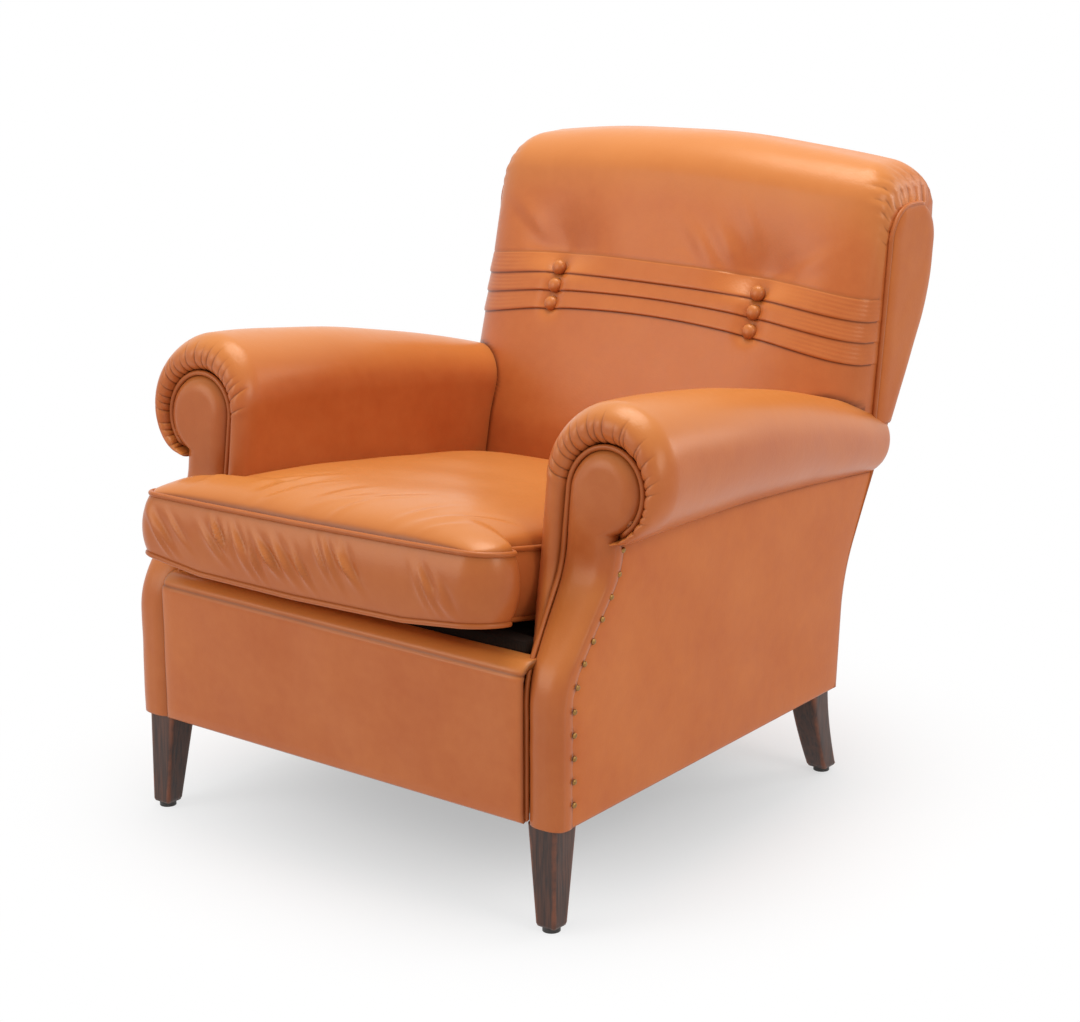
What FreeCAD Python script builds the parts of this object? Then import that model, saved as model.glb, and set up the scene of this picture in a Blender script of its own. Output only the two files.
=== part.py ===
"""Leather club chair with set-back scroll arms, a raked back and a loose T-shaped seat cushion.

Millimetres. The origin is on the floor under the middle of the chair, +Z is up, -Y is the front and
+X is the right-hand side of someone who looks at the front. The right-hand pieces are built and the
left-hand ones are their mirror images.
"""

import FreeCAD, Part
import math
import os
from types import SimpleNamespace

V = FreeCAD.Vector

# Driving dimensions: alias, value in millimetres (or degrees, or a count) and what it measures.
SIZES = [
    ("overall_depth", 820, "cushion front to the rear of the back"),
    ("overall_height", 767, "floor to the top of the back"),
    ("seat_width", 434, "clear width between the inside arms"),
    ("side_width", 632, "width across the outside arms at the front"),
    ("side_taper", 16, "how far each outside arm closes in towards the rear"),
    ("back_width", 602, "width across the side panels of the back"),
    ("fit_gap", 0.3, "clearance between pieces that lie against each other"),
    ("panel_thickness", 5, "covered board of the outside arms and the outside back"),
    ("leg_height", 122, "floor to the underside of the frame"),
    ("glide_radius", 10, "foot glide"),
    ("glide_height", 6, "foot glide"),
    ("front_leg_width", 38, "front leg, left to right at the top"),
    ("front_leg_depth", 42, "front leg, front to rear at the top"),
    ("front_foot_width", 26, "front leg, left to right at the foot"),
    ("front_foot_depth", 24, "front leg, front to rear at the foot"),
    ("rear_leg_width", 40, "rear leg, left to right at the top"),
    ("rear_leg_depth", 34, "rear leg, front to rear at the top"),
    ("rear_foot_size", 27, "rear leg, both ways at the foot"),
    ("rear_leg_sweep", 32, "how far the rear foot stands behind the top of its leg"),
    ("stud_radius", 4, "stud that joins a leg to its post"),
    ("stud_length", 60, "half in the leg and half in the post"),
    ("rail_thickness", 30, "seat rails"),
    ("rail_height", 78, "seat rails"),
    ("rail_lift", 6, "underside of the frame to the underside of the seat rails"),
    ("block_leg", 60, "corner block, along each rail"),
    ("post_thickness", 45, "front post, front to rear"),
    ("post_inset", 6, "front post, inside the edge of its facing"),
    ("back_post_thickness", 34, "back post, front to rear"),
    ("back_post_width", 46, "back post, left to right"),
    ("crest_rail_height", 58, "top rail of the back"),
    ("tack_rail_height", 42, "lower rail of the back"),
    ("tack_rail_level", 300, "floor to the lower rail of the back"),
    ("arm_rail_width", 36, "wooden rail under the arm roll"),
    ("arm_rail_height", 44, "wooden rail under the arm roll"),
    ("side_tack_width", 24, "rail that the inside arm is tacked to"),
    ("side_tack_height", 34, "rail that the inside arm is tacked to"),
    ("side_tack_level", 212, "floor to the rail that the inside arm is tacked to"),
    ("lining_thickness", 1.5, "hessian"),
    ("webbing_width", 50, "jute webbing"),
    ("webbing_thickness", 2, "jute webbing"),
    ("spring_pitch_across", 130, "seat springs, left to right"),
    ("spring_pitch_deep", 150, "seat springs, front to rear"),
    ("spring_radius", 38, "seat springs, middle of the wire"),
    ("spring_wire", 3.8, "seat springs, wire diameter"),
    ("spring_turns", 4, "seat springs"),
    ("apron_height", 178, "front apron, bottom to top"),
    ("apron_thickness", 20, "front apron"),
    ("apron_roll", 36, "how far the apron turns back over the seat edge"),
    ("apron_round", 16, "rounding of the front top edge of the apron"),
    ("apron_lip", 14, "front apron, thickness where it turns back"),
    ("facing_recess", 10, "apron front to the foot of the arm facing"),
    ("facing_thickness", 10, "arm facing"),
    ("facing_foot_width", 46, "arm facing at the bottom"),
    ("facing_knee", 278, "floor to where the facing starts to lean back"),
    ("facing_neck", 384, "floor to where the facing stops leaning back"),
    ("arm_setback", 84, "how far the neck of the arm stands behind its foot"),
    ("scroll_lean", 24, "how far the scroll leans back above the neck"),
    ("scroll_drop", 14, "how far the middle of the facing's scroll lies below the middle of the roll"),
    ("arm_diameter", 164, "arm roll at the front"),
    ("arm_padding", 36, "stuffing round the facing and on the inside arm"),
    ("arm_height", 565, "floor to the top of the arm roll at the front"),
    ("arm_fall", 117, "how much lower the arm roll is at the rear"),
    ("arm_rear_diameter", 94, "arm roll at the rear"),
    ("arm_seam_drop", 149, "top of the arm roll to the seam under it, at the front"),
    ("arm_seam_fall", 42, "how much lower that seam is at the rear"),
    ("arm_nose", 10, "how far the arm roll stands in front of its facing"),
    ("arm_skirt", 232, "floor to the bottom of the inside arm"),
    ("arm_reach", 112, "how far the arm roll reaches behind the foot of the outside back"),
    ("nose_radius", 22, "rounding of the front of the arm roll"),
    ("piping_size", 5, "piping cord"),
    ("nail_pitch", 26, "dome nails"),
    ("nail_radius", 3.6, "dome nails"),
    ("nail_inset", 8, "dome nails, from the front edge of the outside arm"),
    ("nail_count", 12, "dome nails on each side"),
    ("back_foot", 206, "rear of the back at the top to its foot"),
    ("back_knee_level", 262, "floor to the lower bend of the outside back"),
    ("back_knee", 195, "rear of the back at the top to that bend"),
    ("back_bend_drop", 182, "top of the back to the upper bend of the outside back"),
    ("back_bend", 13, "rear of the back at the top to that bend"),
    ("crest_drop", 77, "top of the back to the top of the crest rail"),
    ("side_panel_thickness", 6, "side panel of the back"),
    ("side_panel_drop", 67, "top of the back to the top of its side panels"),
    ("side_panel_round", 46, "rounding of the top of the side panel"),
    ("side_panel_foot", 134, "rear of the back at the top to the foot of the side panel's front edge"),
    ("side_panel_lean", 24, "how far that edge leans back"),
    ("side_panel_lap", 14, "how far the side panel reaches below the crest of the arm at the rear"),
    ("back_pad_foot", 278, "rear of the back at the top to the foot of the inside back"),
    ("back_pad_bend", 257, "rear of the back at the top to the bend of the inside back"),
    ("back_pad_bend_level", 392, "floor to the bend of the inside back"),
    ("back_pad_crown", 118, "rear of the back at the top to the crown of the inside back"),
    ("back_arch", 25, "how much lower the top of the back is at its sides"),
    ("back_pad_toe", 5, "how far the inside back leans back from its foot to the lower bend"),
    ("back_pad_low_round", 60, "rounding of the lower bend of the inside back"),
    ("back_pad_round", 180, "rounding of the bend of the inside back"),
    ("back_crown_round", 75, "rounding of the crown of the inside back in its middle"),
    ("back_corner_round", 28, "rounding of the crown of the inside back at its sides"),
    ("back_side_set", 14, "how far the foot of the inside back stands behind its middle at the sides"),
    ("back_side_knee", 19, "how far its lower bend does"),
    ("back_side_depth", 14.1, "stuffing of the inside back at its sides, at the bend"),
    ("back_side_rise", 40, "how much higher its bend is at the sides"),
    ("back_side_crown", 12, "how far its crown stands behind its middle at the sides"),
    ("back_rear_set", 0.5, "how far the rear of the inside back stands before the rear of the chair"),
    ("back_rear_side", 4, "how far it does at the sides"),
    ("button_radius", 8.5, "covered buttons"),
    ("button_height", 6, "covered buttons"),
    ("button_spread", 306, "between the two columns of buttons"),
    ("button_drop", 220, "top of the back to the lowest button"),
    ("button_pitch", 24, "between buttons of a column, along the back"),
    ("button_sink", 12, "how deep a button pulls the inside back in"),
    ("cushion_level", 325, "floor to the bottom of the cushion at its front"),
    ("cushion_thickness", 78, "cushion, seam to seam"),
    ("cushion_crown", 44, "how far the cushion swells above its top seam"),
    ("cushion_overhang", 27, "how far the cushion stands in front of the apron"),
    ("cushion_ear", 60, "front to rear of the cushion in front of the arms"),
    ("cushion_ear_width", 528, "width of the cushion in front of the arms"),
    ("cushion_front_round", 36, "rounding of the front corners of the cushion"),
    ("cushion_ear_round", 12, "rounding of the corners where the cushion steps in"),
    ("cushion_rear_round", 40, "rounding of the rear corners of the cushion"),
    ("cushion_clearance", 1.5, "cushion to each inside arm"),
    ("cushion_back_gap", 4, "cushion to the inside back"),
    ("cushion_cover", 2, "leather of the cushion"),
    ("seat_rake", 7, "degrees that the seat falls towards the rear"),
    ("deck_thickness", 42, "stuffing of the seat under the cushion"),
]

doc = FreeCAD.newDocument("club_chair")
sheet = doc.addObject("Spreadsheet::Sheet", "Dimensions")
for row, (alias, amount, meaning) in enumerate(SIZES, start=1):
    sheet.set(f"A{row}", meaning)
    sheet.set(f"B{row}", str(amount))
    sheet.setAlias(f"B{row}", alias)
doc.recompute()
d = SimpleNamespace(**{alias: float(sheet.get(alias)) for alias, _, _ in SIZES})

# Values that follow from the driving dimensions.
front = -d.overall_depth / 2
rear = d.overall_depth / 2
apron_front = front + d.cushion_overhang
facing_front = apron_front + d.facing_recess
arm_inner = d.seat_width / 2
roll = d.arm_diameter / 2
scroll_x = arm_inner + roll
scroll_z = d.arm_height - roll
scroll_radius = roll - d.arm_padding
facing_z = scroll_z - d.scroll_drop
arm_seam = d.arm_height - d.arm_seam_drop
panel_x = d.side_width / 2
rear_panel_x = panel_x - d.side_taper
back_half = d.back_width / 2
back_inside = back_half - d.side_panel_thickness - d.fit_gap
post_inner = back_inside - d.back_post_width
back_bend_level = d.overall_height - d.back_bend_drop
crest_level = d.overall_height - d.crest_drop
side_panel_top = d.overall_height - d.side_panel_drop
button_level = d.overall_height - d.button_drop
rail_bottom = d.leg_height + d.rail_lift
rail_top = rail_bottom + d.rail_height
apron_top = d.leg_height + d.apron_height
rake = math.radians(d.seat_rake)
FAR = d.overall_depth + d.overall_height


def cell(text):
    """An expression in which each alias is read from the sheet."""
    for alias, _, _ in sorted(SIZES, key=lambda size: -len(size[0])):
        text = text.replace(f"<{alias}>", f"Dimensions.{alias}")
    return text


# Planes that sketches lie in: the sketch's own x and y run along the two named axes.
PLANES = {
    "XY": FreeCAD.Rotation(),
    "XZ": FreeCAD.Rotation(V(1, 0, 0), V(0, 0, 1), V(0, -1, 0), "XYZ"),
    "YZ": FreeCAD.Rotation(V(0, 1, 0), V(0, 0, 1), V(1, 0, 0), "XYZ"),
}
PLACES = {plane: FreeCAD.Placement(V(0, 0, 0), turn) for plane, turn in PLANES.items()}
names_used = set()


def unique(stem):
    """A document name that no other object has."""
    name, count = stem, 1
    while name in names_used:
        count += 1
        name = f"{stem}_{count}"
    names_used.add(name)
    return name


def corner(before, at, after, radius):
    """Start, middle and end of the arc that rounds the corner at a point between two others."""
    into = (before - at).normalize()
    out = (after - at).normalize()
    half = into.getAngle(out) / 2
    reach = radius / math.tan(half)
    bisector = (into + out).normalize()
    middle = at + bisector * (radius / math.sin(half) - radius)
    return at + into * reach, middle, at + out * reach


def rounded(points, closed=False):
    """Lines and arcs through points (u, v) or (u, v, radius), each corner rounded by its radius."""
    spots = [V(p[0], p[1], 0) for p in points]
    radii = [p[2] if len(p) > 2 else 0 for p in points]
    count = len(spots)
    arcs = {}
    for i in range(count):
        if radii[i] and (closed or 0 < i < count - 1):
            arcs[i] = corner(spots[i - 1], spots[i], spots[(i + 1) % count], radii[i])
    made = []
    for i in range(count if closed else count - 1):
        j = (i + 1) % count
        start = arcs[i][2] if i in arcs else spots[i]
        end = arcs[j][0] if j in arcs else spots[j]
        if (end - start).Length > 1e-6:
            made.append(Part.LineSegment(start, end))
        if j in arcs:
            made.append(Part.Arc(*arcs[j]))
    return made


def sketch(stem, geometry, plane="XY", place=None):
    """A sketch of that geometry in a plane, or at a placement of its own."""
    made = doc.addObject("Sketcher::SketchObject", unique(stem))
    made.Placement = place if place else PLACES[plane]
    made.addGeometry(geometry, False)
    return made


def extruded(stem, profile, ahead, behind=0):
    """A profile extruded both ways along its normal, each by a length or an expression."""
    made = doc.addObject("Part::Extrusion", unique(stem))
    made.Base = profile
    made.DirMode = "Normal"
    made.Solid = True
    made.setExpression("LengthFwd", cell(str(ahead)))
    made.setExpression("LengthRev", cell(str(behind)))
    return made


THROUGH = "<overall_depth> + <overall_height>"


def through(stem, geometry, plane):
    """A profile extruded right through the chair, both ways."""
    return extruded(stem, sketch(f"{stem}_profile", geometry, plane), THROUGH, THROUGH)


def common(stem, *objects):
    """What several solids share."""
    made = doc.addObject("Part::MultiCommon", unique(stem))
    made.Shapes = list(objects)
    return made


def cut(stem, base, *tools):
    """A solid with others taken out of it."""
    for number, tool in enumerate(tools):
        made = doc.addObject("Part::Cut", unique(f"{stem}_cut{number}"))
        made.Base = base
        made.Tool = tool
        base = made
    return base


def mirrored(source):
    """The left-hand twin of a right-hand piece."""
    made = doc.addObject("Part::Mirroring", unique(source.Name + "_mirror"))
    made.Source = source
    made.Normal = V(1, 0, 0)
    return made


def group(stem, shapes):
    """Several solids that make one sub-part."""
    made = doc.addObject("Part::Feature", unique(stem))
    made.Shape = Part.Compound(shapes)
    return made


def bar(stem, low, size):
    """A squared timber or a flat sheet: a rectangle padded upwards, placed by its lowest corner."""
    body = doc.addObject("PartDesign::Body", unique(stem))
    base = body.newObject("Sketcher::SketchObject", unique(f"{stem}_section"))
    base.AttachmentSupport = [(origin_plane(body, "XY_Plane"), "")]
    base.MapMode = "FlatFace"
    rectangle(base, size[0], size[1])
    pad = body.newObject("PartDesign::Pad", unique(f"{stem}_pad"))
    pad.Profile = base
    pad.setExpression("Length", cell(size[2]))
    for axis, amount in zip("xyz", low):
        body.setExpression(f"Placement.Base.{axis}", cell(amount))
    return body


def origin_plane(body, role):
    """One of a body's own origin planes, found by its role."""
    return next(f for f in body.Origin.OriginFeatures if f.Role == role)


def rectangle(flat, wide, deep, centred=False):
    """A rectangle in a sketch whose two sides are bound to expressions, from the origin or round it."""
    spots = [V(0, 0, 0), V(10, 0, 0), V(10, 10, 0), V(0, 10, 0)]
    if centred:
        spots = [p - V(5, 5, 0) for p in spots]
    import Sketcher

    for i in range(4):
        flat.addGeometry(Part.LineSegment(spots[i], spots[(i + 1) % 4]), False)
    for i in range(4):
        flat.addConstraint(Sketcher.Constraint("Coincident", i, 2, (i + 1) % 4, 1))
    for i, kind in enumerate(("Horizontal", "Vertical", "Horizontal", "Vertical")):
        flat.addConstraint(Sketcher.Constraint(kind, i))
    if centred:
        flat.addConstraint(Sketcher.Constraint("Symmetric", 0, 1, 1, 2, -1, 1))
    else:
        flat.addConstraint(Sketcher.Constraint("Coincident", 0, 1, -1, 1))
    for line, kind, amount in ((0, "DistanceX", wide), (1, "DistanceY", deep)):
        number = flat.addConstraint(Sketcher.Constraint(kind, line, 1, line, 2, 10.0))
        flat.setExpression(f"Constraints[{number}]", cell(amount))


def tapered(stem, stations):
    """A leg lofted through rectangles: each station is centre x, centre y, height, width and depth."""
    body = doc.addObject("PartDesign::Body", unique(stem))
    flats = []
    for x, y, z, wide, deep in stations:
        flat = body.newObject("Sketcher::SketchObject", unique(f"{stem}_section"))
        flat.AttachmentSupport = [(origin_plane(body, "XY_Plane"), "")]
        flat.MapMode = "FlatFace"
        rectangle(flat, wide, deep, centred=True)
        for axis, amount in zip("xyz", (x, y, z)):
            flat.setExpression(f"AttachmentOffset.Base.{axis}", cell(amount))
        flats.append(flat)
    loft = body.newObject("PartDesign::AdditiveLoft", unique(f"{stem}_loft"))
    loft.Profile = flats[0]
    loft.Sections = flats[1:]
    return body


pieces = []


def piece(label, made):
    """Names a finished sub-part."""
    made.Label = label
    if made.Label != label:
        raise RuntimeError(f"{label} is already the name of something else")
    pieces.append(made)
    return made


def pair(stem, made):
    """Names a right-hand sub-part and its left-hand twin."""
    piece(f"{stem}_right", made)
    piece(f"{stem}_left", mirrored(made))
    return made


# Side profiles that several pieces share, as points (y, z, radius).


def facing_curve(shift):
    """The S-curve of the arm's front, moved rearwards by a shift."""
    knee = facing_front + shift
    neck = knee + d.arm_setback
    return [
        (knee, d.leg_height),
        (knee, d.facing_knee, 90),
        (neck, d.facing_neck, 80),
        (neck + d.scroll_lean, d.arm_height),
    ]


def facing_strip(shift, thickness):
    """A strip of that thickness behind the S-curve of the arm's front."""
    return facing_curve(shift) + facing_curve(shift + thickness)[::-1]


def back_curve(shift, low=None, high=None):
    """The S-curve of the outside back, moved forwards by a shift."""
    return [
        (rear - d.back_foot - shift, d.leg_height if low is None else low),
        (rear - d.back_knee - shift, d.back_knee_level, 200),
        (rear - d.back_bend - shift, back_bend_level, 200),
        (rear - shift, crest_level + d.fit_gap if high is None else high),
    ]


def back_strip(shift, thickness):
    """A strip of that thickness in front of the S-curve of the outside back."""
    return back_curve(shift) + back_curve(shift + thickness)[::-1]


post_rear = d.panel_thickness + d.fit_gap
post_front = post_rear + d.back_post_thickness


def behind(stem, shift, low_x, high_x):
    """Everything behind the outside back's S-curve moved forwards, between two widths."""
    far = rear + FAR
    outline = back_curve(shift, high=crest_level)
    outline = [(outline[0][0], -FAR)] + outline + [(outline[-1][0], FAR), (far, FAR), (far, -FAR)]
    flat = sketch(f"{stem}_profile", rounded(outline, True), place=FreeCAD.Placement(V(low_x, 0, 0), PLANES["YZ"]))
    return extruded(stem, flat, high_x - low_x)


def panel_face(y, inwards=0):
    """The outside arm's distance from the middle of the chair at a depth."""
    length = rear - d.back_foot - facing_front
    return panel_x - inwards - d.side_taper * (y - facing_front) / length


def side_slab(stem, inwards, thickness):
    """An upright slab that follows the outside arm's plane, at a depth inside its face."""
    near, far = facing_front - FAR, facing_front + FAR
    outer = [(panel_face(near, inwards), near), (panel_face(far, inwards), far)]
    inner = [(x - thickness, y) for x, y in outer[::-1]]
    return through(stem, rounded(outer + inner, True), "XY")


# Legs: dark stained beech, straight tapered in front and swept back at the rear.
front_leg_x = panel_x - d.post_inset - d.panel_thickness - d.front_leg_width / 2 + 1
front_leg_y = facing_front + d.front_leg_depth / 2
front_foot_x = front_leg_x + (d.front_leg_width - d.front_foot_width) / 2
front_foot_y = facing_front + d.front_foot_depth / 2
rear_leg_x = back_inside - d.rear_leg_width / 2 - 7
rear_leg_y = rear - d.back_foot - post_rear - d.rear_leg_depth / 2 + 10
rear_foot_y = rear_leg_y + d.rear_leg_sweep
feet = [(front_foot_x, front_foot_y), (rear_leg_x + 3, rear_foot_y)]


def stud_hole(stem, x, y):
    """A drilled hole for a leg stud, on both sides of the underside of the frame."""
    made = doc.addObject("Part::Cylinder", unique(stem))
    made.setExpression("Radius", cell("<stud_radius> + <fit_gap>"))
    made.setExpression("Height", cell("<stud_length> + 2 * <fit_gap>"))
    made.setExpression("Placement.Base.z", cell("<leg_height> - <stud_length> / 2 - <fit_gap>"))
    made.Placement.Base.x = x
    made.Placement.Base.y = y
    return made


front_stud = (front_leg_x, facing_front + d.facing_thickness + d.fit_gap + d.stud_radius * 3)
rear_stud = (rear_leg_x, rear_leg_y)
front_drill = stud_hole("front_stud_hole", *front_stud)
rear_drill = stud_hole("rear_stud_hole", *rear_stud)

front_taper = tapered(
    "front_leg",
    [
        (str(front_foot_x), str(front_foot_y), "<glide_height>", "<front_foot_width>", "<front_foot_depth>"),
        (str(front_leg_x), str(front_leg_y), "<leg_height> - <fit_gap>", "<front_leg_width>", "<front_leg_depth>"),
    ],
)
rear_middle = (str(rear_leg_x + 2), str(rear_leg_y + 0.62 * d.rear_leg_sweep), "<leg_height> / 2")
rear_taper = tapered(
    "rear_leg",
    [
        (str(rear_leg_x + 3), str(rear_foot_y), "<glide_height>", "<rear_foot_size>", "<rear_foot_size>"),
        (*rear_middle, "(<rear_foot_size> + <rear_leg_width>) / 2", "(<rear_foot_size> + <rear_leg_depth>) / 2"),
        (str(rear_leg_x), str(rear_leg_y), "<leg_height> - <fit_gap>", "<rear_leg_width>", "<rear_leg_depth>"),
    ],
)
pair("front_leg", cut("front_leg", front_taper, front_drill))
pair("rear_leg", cut("rear_leg", rear_taper, rear_drill))

glides, studs = [], []
for side in (1, -1):
    for x, y in feet:
        glides.append(Part.makeCylinder(d.glide_radius, d.glide_height, V(side * x, y, 0)))
    for x, y in (front_stud, rear_stud):
        foot = V(side * x, y, d.leg_height - d.stud_length / 2)
        studs.append(Part.makeCylinder(d.stud_radius, d.stud_length, foot))
piece("leg_glides", group("leg_glides", glides))
piece("leg_studs", group("leg_studs", studs))

# Front view of the arm's front: a foot, a neck and a round scroll, as an outline in x and z.
facing_low = panel_x - d.facing_foot_width
throat_x = panel_x - d.fit_gap


def facing_outline(grow, outer=None, low=None):
    """The facing's front outline, grown on its inner edge and round its scroll."""
    outer = throat_x if outer is None else outer
    low = d.leg_height if low is None else low
    radius = scroll_radius + grow
    left = scroll_x - radius
    turn = math.acos((outer - scroll_x) / radius)
    throat = facing_z - radius * math.sin(turn)
    middle = (math.pi - turn) / 2
    top = V(scroll_x + radius * math.cos(middle), facing_z + radius * math.sin(middle), 0)
    inner = [
        (outer, low),
        (facing_low - grow, low),
        (facing_low - grow, d.facing_knee - 20, 120),
        (left, d.facing_neck + 16, 150),
        (left, facing_z),
    ]
    scroll = Part.Arc(V(left, facing_z, 0), top, V(outer, throat, 0))
    return rounded(inner) + [scroll, Part.LineSegment(V(outer, throat, 0), V(outer, low, 0))]


# Timber frame: front posts with scrolled heads, curved back posts, and the rails between them.
post_outline = through("post_outline", facing_outline(-d.post_inset, panel_x + 1 - d.panel_thickness), "XZ")
post_strip = through(
    "post_strip",
    rounded(facing_strip(d.facing_thickness + d.fit_gap, d.post_thickness), True),
    "YZ",
)
inside_panel = side_slab("inside_panel", d.panel_thickness + d.fit_gap, FAR)
front_post = common("front_post", post_outline, post_strip, inside_panel)
pair("front_post", cut("front_post", front_post, front_drill))

back_profile = sketch(
    "back_post_profile",
    rounded(back_strip(post_rear, d.back_post_thickness), True),
    place=FreeCAD.Placement(V(post_inner, 0, 0), PLANES["YZ"]),
)
back_post = extruded("back_post", back_profile, "<back_post_width>")
pair("back_post", cut("back_post", back_post, rear_drill))


def cross_rail(label, low, high):
    """A rail between the back posts, cut from the same curve as they are."""
    bounds = [(-FAR, low), (FAR, low), (FAR, high), (-FAR, high)]
    level = through(f"{label}_level", rounded(bounds, True), "XZ")
    reach = post_inner - d.fit_gap
    place = FreeCAD.Placement(V(-reach, 0, 0), PLANES["YZ"])
    flat = sketch(f"{label}_profile", rounded(back_strip(post_rear, d.back_post_thickness), True), place=place)
    length = extruded(f"{label}_length", flat, 2 * reach)
    return piece(label, common(label, length, level))


cross_rail("back_seat_rail", rail_bottom, rail_top)
cross_rail("lower_back_rail", d.tack_rail_level, d.tack_rail_level + d.tack_rail_height)
cross_rail("crest_rail", crest_level - d.crest_rail_height, crest_level)

post_low_inner = facing_low + d.post_inset
post_low_rear = facing_front + d.facing_thickness + d.fit_gap + d.post_thickness
back_post_low = rear - d.back_foot - post_front
front_rail_rear = apron_front + d.apron_thickness + d.fit_gap + d.rail_thickness
side_rail_inner = rear_panel_x - d.panel_thickness - d.rail_thickness - 5
side_rail_length = back_post_low - post_low_rear - 2 * d.fit_gap
rail_low = "<leg_height> + <rail_lift>"
front_rail_reach = post_low_inner - d.fit_gap
piece(
    "front_seat_rail",
    bar(
        "front_seat_rail",
        (str(-front_rail_reach), str(front_rail_rear - d.rail_thickness), rail_low),
        (str(2 * front_rail_reach), "<rail_thickness>", "<rail_height>"),
    ),
)
pair(
    "side_seat_rail",
    bar(
        "side_seat_rail",
        (str(side_rail_inner), str(post_low_rear + d.fit_gap), rail_low),
        ("<rail_thickness>", str(side_rail_length), "<rail_height>"),
    ),
)


def corner_block(x, y, along_x, along_y):
    """A triangular glue block in the corner at (x, y), with its two legs along the rails."""
    spots = [V(x, y, 0), V(x + along_x, y, 0), V(x, y + along_y, 0), V(x, y, 0)]
    level = rail_bottom + d.rail_height / 8
    face = Part.Face(Part.makePolygon([p + V(0, 0, level) for p in spots]))
    return face.extrude(V(0, 0, d.rail_height * 3 / 4))


block_x = side_rail_inner - d.fit_gap
blocks = []
for side in (1, -1):
    blocks.append(corner_block(side * block_x, front_rail_rear + d.fit_gap, -side * d.block_leg, d.block_leg))
    blocks.append(corner_block(side * block_x, back_post_low - d.fit_gap, -side * d.block_leg, -d.block_leg))
piece("corner_blocks", group("corner_blocks", blocks))

# Arm rails: a sloping rail under the roll, and a straight one that the inside arm is tacked to.
lining_x = arm_inner + d.arm_padding + d.fit_gap
arm_rail_x = lining_x + d.lining_thickness + d.fit_gap
neck_rear = facing_front + d.arm_setback + d.facing_thickness + d.fit_gap + d.post_thickness + d.fit_gap
behind_posts = behind("behind_back_posts", post_front + d.fit_gap, 0, FAR)
rail_drop = d.arm_seam_fall
arm_rail_top = arm_seam + d.arm_rail_height / 2
neck_lean = d.scroll_lean * (arm_rail_top - d.facing_neck) / (d.arm_height - d.facing_neck)
rail_ends = [(neck_rear + neck_lean, arm_rail_top), (rear, arm_rail_top - rail_drop * 1.15)]
rail_side = rail_ends + [(y, z - d.arm_rail_height) for y, z in rail_ends[::-1]]


def arm_rail_level(y):
    """The top of the arm rail at a depth."""
    share = (y - rail_ends[0][0]) / (rail_ends[1][0] - rail_ends[0][0])
    return rail_ends[0][1] + (rail_ends[1][1] - rail_ends[0][1]) * share


arm_rail_profile = sketch(
    "arm_rail_profile",
    rounded(rail_side, True),
    place=FreeCAD.Placement(V(arm_rail_x, 0, 0), PLANES["YZ"]),
)
arm_rail = extruded("arm_rail_bar", arm_rail_profile, "<arm_rail_width>")
pair("arm_rail", cut("arm_rail", arm_rail, behind_posts))
side_tack = bar(
    "side_tack_bar",
    (str(arm_rail_x), str(post_low_rear + d.fit_gap), "<side_tack_level>"),
    ("<side_tack_width>", str(rear - post_low_rear), "<side_tack_height>"),
)
pair("arm_tack_rail", cut("arm_tack_rail", side_tack, behind_posts))

# Seat: webbing under the rails, coil springs on it, hessian over them, then the stuffed deck.
spring_rows = [-1, 0, 1]
seat_middle = (front_rail_rear + back_post_low) / 2
strap_z = rail_bottom - d.fit_gap - d.webbing_thickness
straps = []
for row in spring_rows:
    along = V(row * d.spring_pitch_across - d.webbing_width / 2, front_rail_rear - d.rail_thickness / 2, strap_z)
    length = back_post_low - front_rail_rear + d.rail_thickness
    straps.append(Part.makeBox(d.webbing_width, length, d.webbing_thickness, along))
    reach = side_rail_inner + d.rail_thickness / 2
    across = V(-reach, seat_middle + row * d.spring_pitch_deep - d.webbing_width / 2, strap_z - d.webbing_thickness)
    straps.append(Part.makeBox(2 * reach, d.webbing_width, d.webbing_thickness, across))
piece("seat_webbing", group("seat_webbing", straps))


def deck_level(y, below=0.0):
    """Height of the raked seat plane under the cushion at a depth, or of a plane parallel to it below."""
    return d.cushion_level - (y - front) * math.tan(rake) - (d.fit_gap + below) / math.cos(rake)


wire_sides = 8


def coil(height):
    """A coil spring that stands on the origin; its wire has flat sides, so that its mesh stays light."""
    rise = height - d.spring_wire
    helix = Part.makeHelix(rise / d.spring_turns, rise, d.spring_radius)
    turns = [2 * math.pi * side / wire_sides for side in range(wire_sides)]
    ring = [V(math.cos(turn), 0, math.sin(turn)) * (d.spring_wire / 2) for turn in turns]
    corners = [V(d.spring_radius, 0, 0) + point for point in ring]
    section = Part.makePolygon(corners + corners[:1])
    made = Part.Wire(helix.Edges).makePipeShell([section], True, True)
    made.rotate(V(0, 0, 0), V(0, 0, 1), 90)
    made.translate(V(0, 0, d.spring_wire / 2))
    return made


springs = []
spring_foot = strap_z + d.webbing_thickness + d.fit_gap
for row in spring_rows:
    y = seat_middle + row * d.spring_pitch_deep
    lining_low = deck_level(y + d.spring_radius, d.deck_thickness + d.lining_thickness + 2 * d.fit_gap)
    spring = coil(lining_low - spring_foot)
    for column in spring_rows:
        placed = spring.copy()
        placed.translate(V(column * d.spring_pitch_across, y, spring_foot))
        springs.append(placed)
piece("seat_springs", group("seat_springs", springs))

deck_front = apron_front + d.apron_thickness + d.fit_gap
pad_foot_y = rear - d.back_pad_foot
deck_half = arm_inner - d.fit_gap


def raked_layer(stem, top, thickness, start, half, end=None):
    """A layer of the seat parallel to the cushion, from a depth to another or to the inside back."""
    end = pad_foot_y - d.fit_gap if end is None else end
    upper = [(start, deck_level(start, top)), (end, deck_level(end, top))]
    lower = [(end, deck_level(end, top + thickness)), (start, deck_level(start, top + thickness))]
    place = FreeCAD.Placement(V(-half, 0, 0), PLANES["YZ"])
    return extruded(stem, sketch(f"{stem}_profile", rounded(upper + lower, True), place=place), 2 * half)


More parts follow.
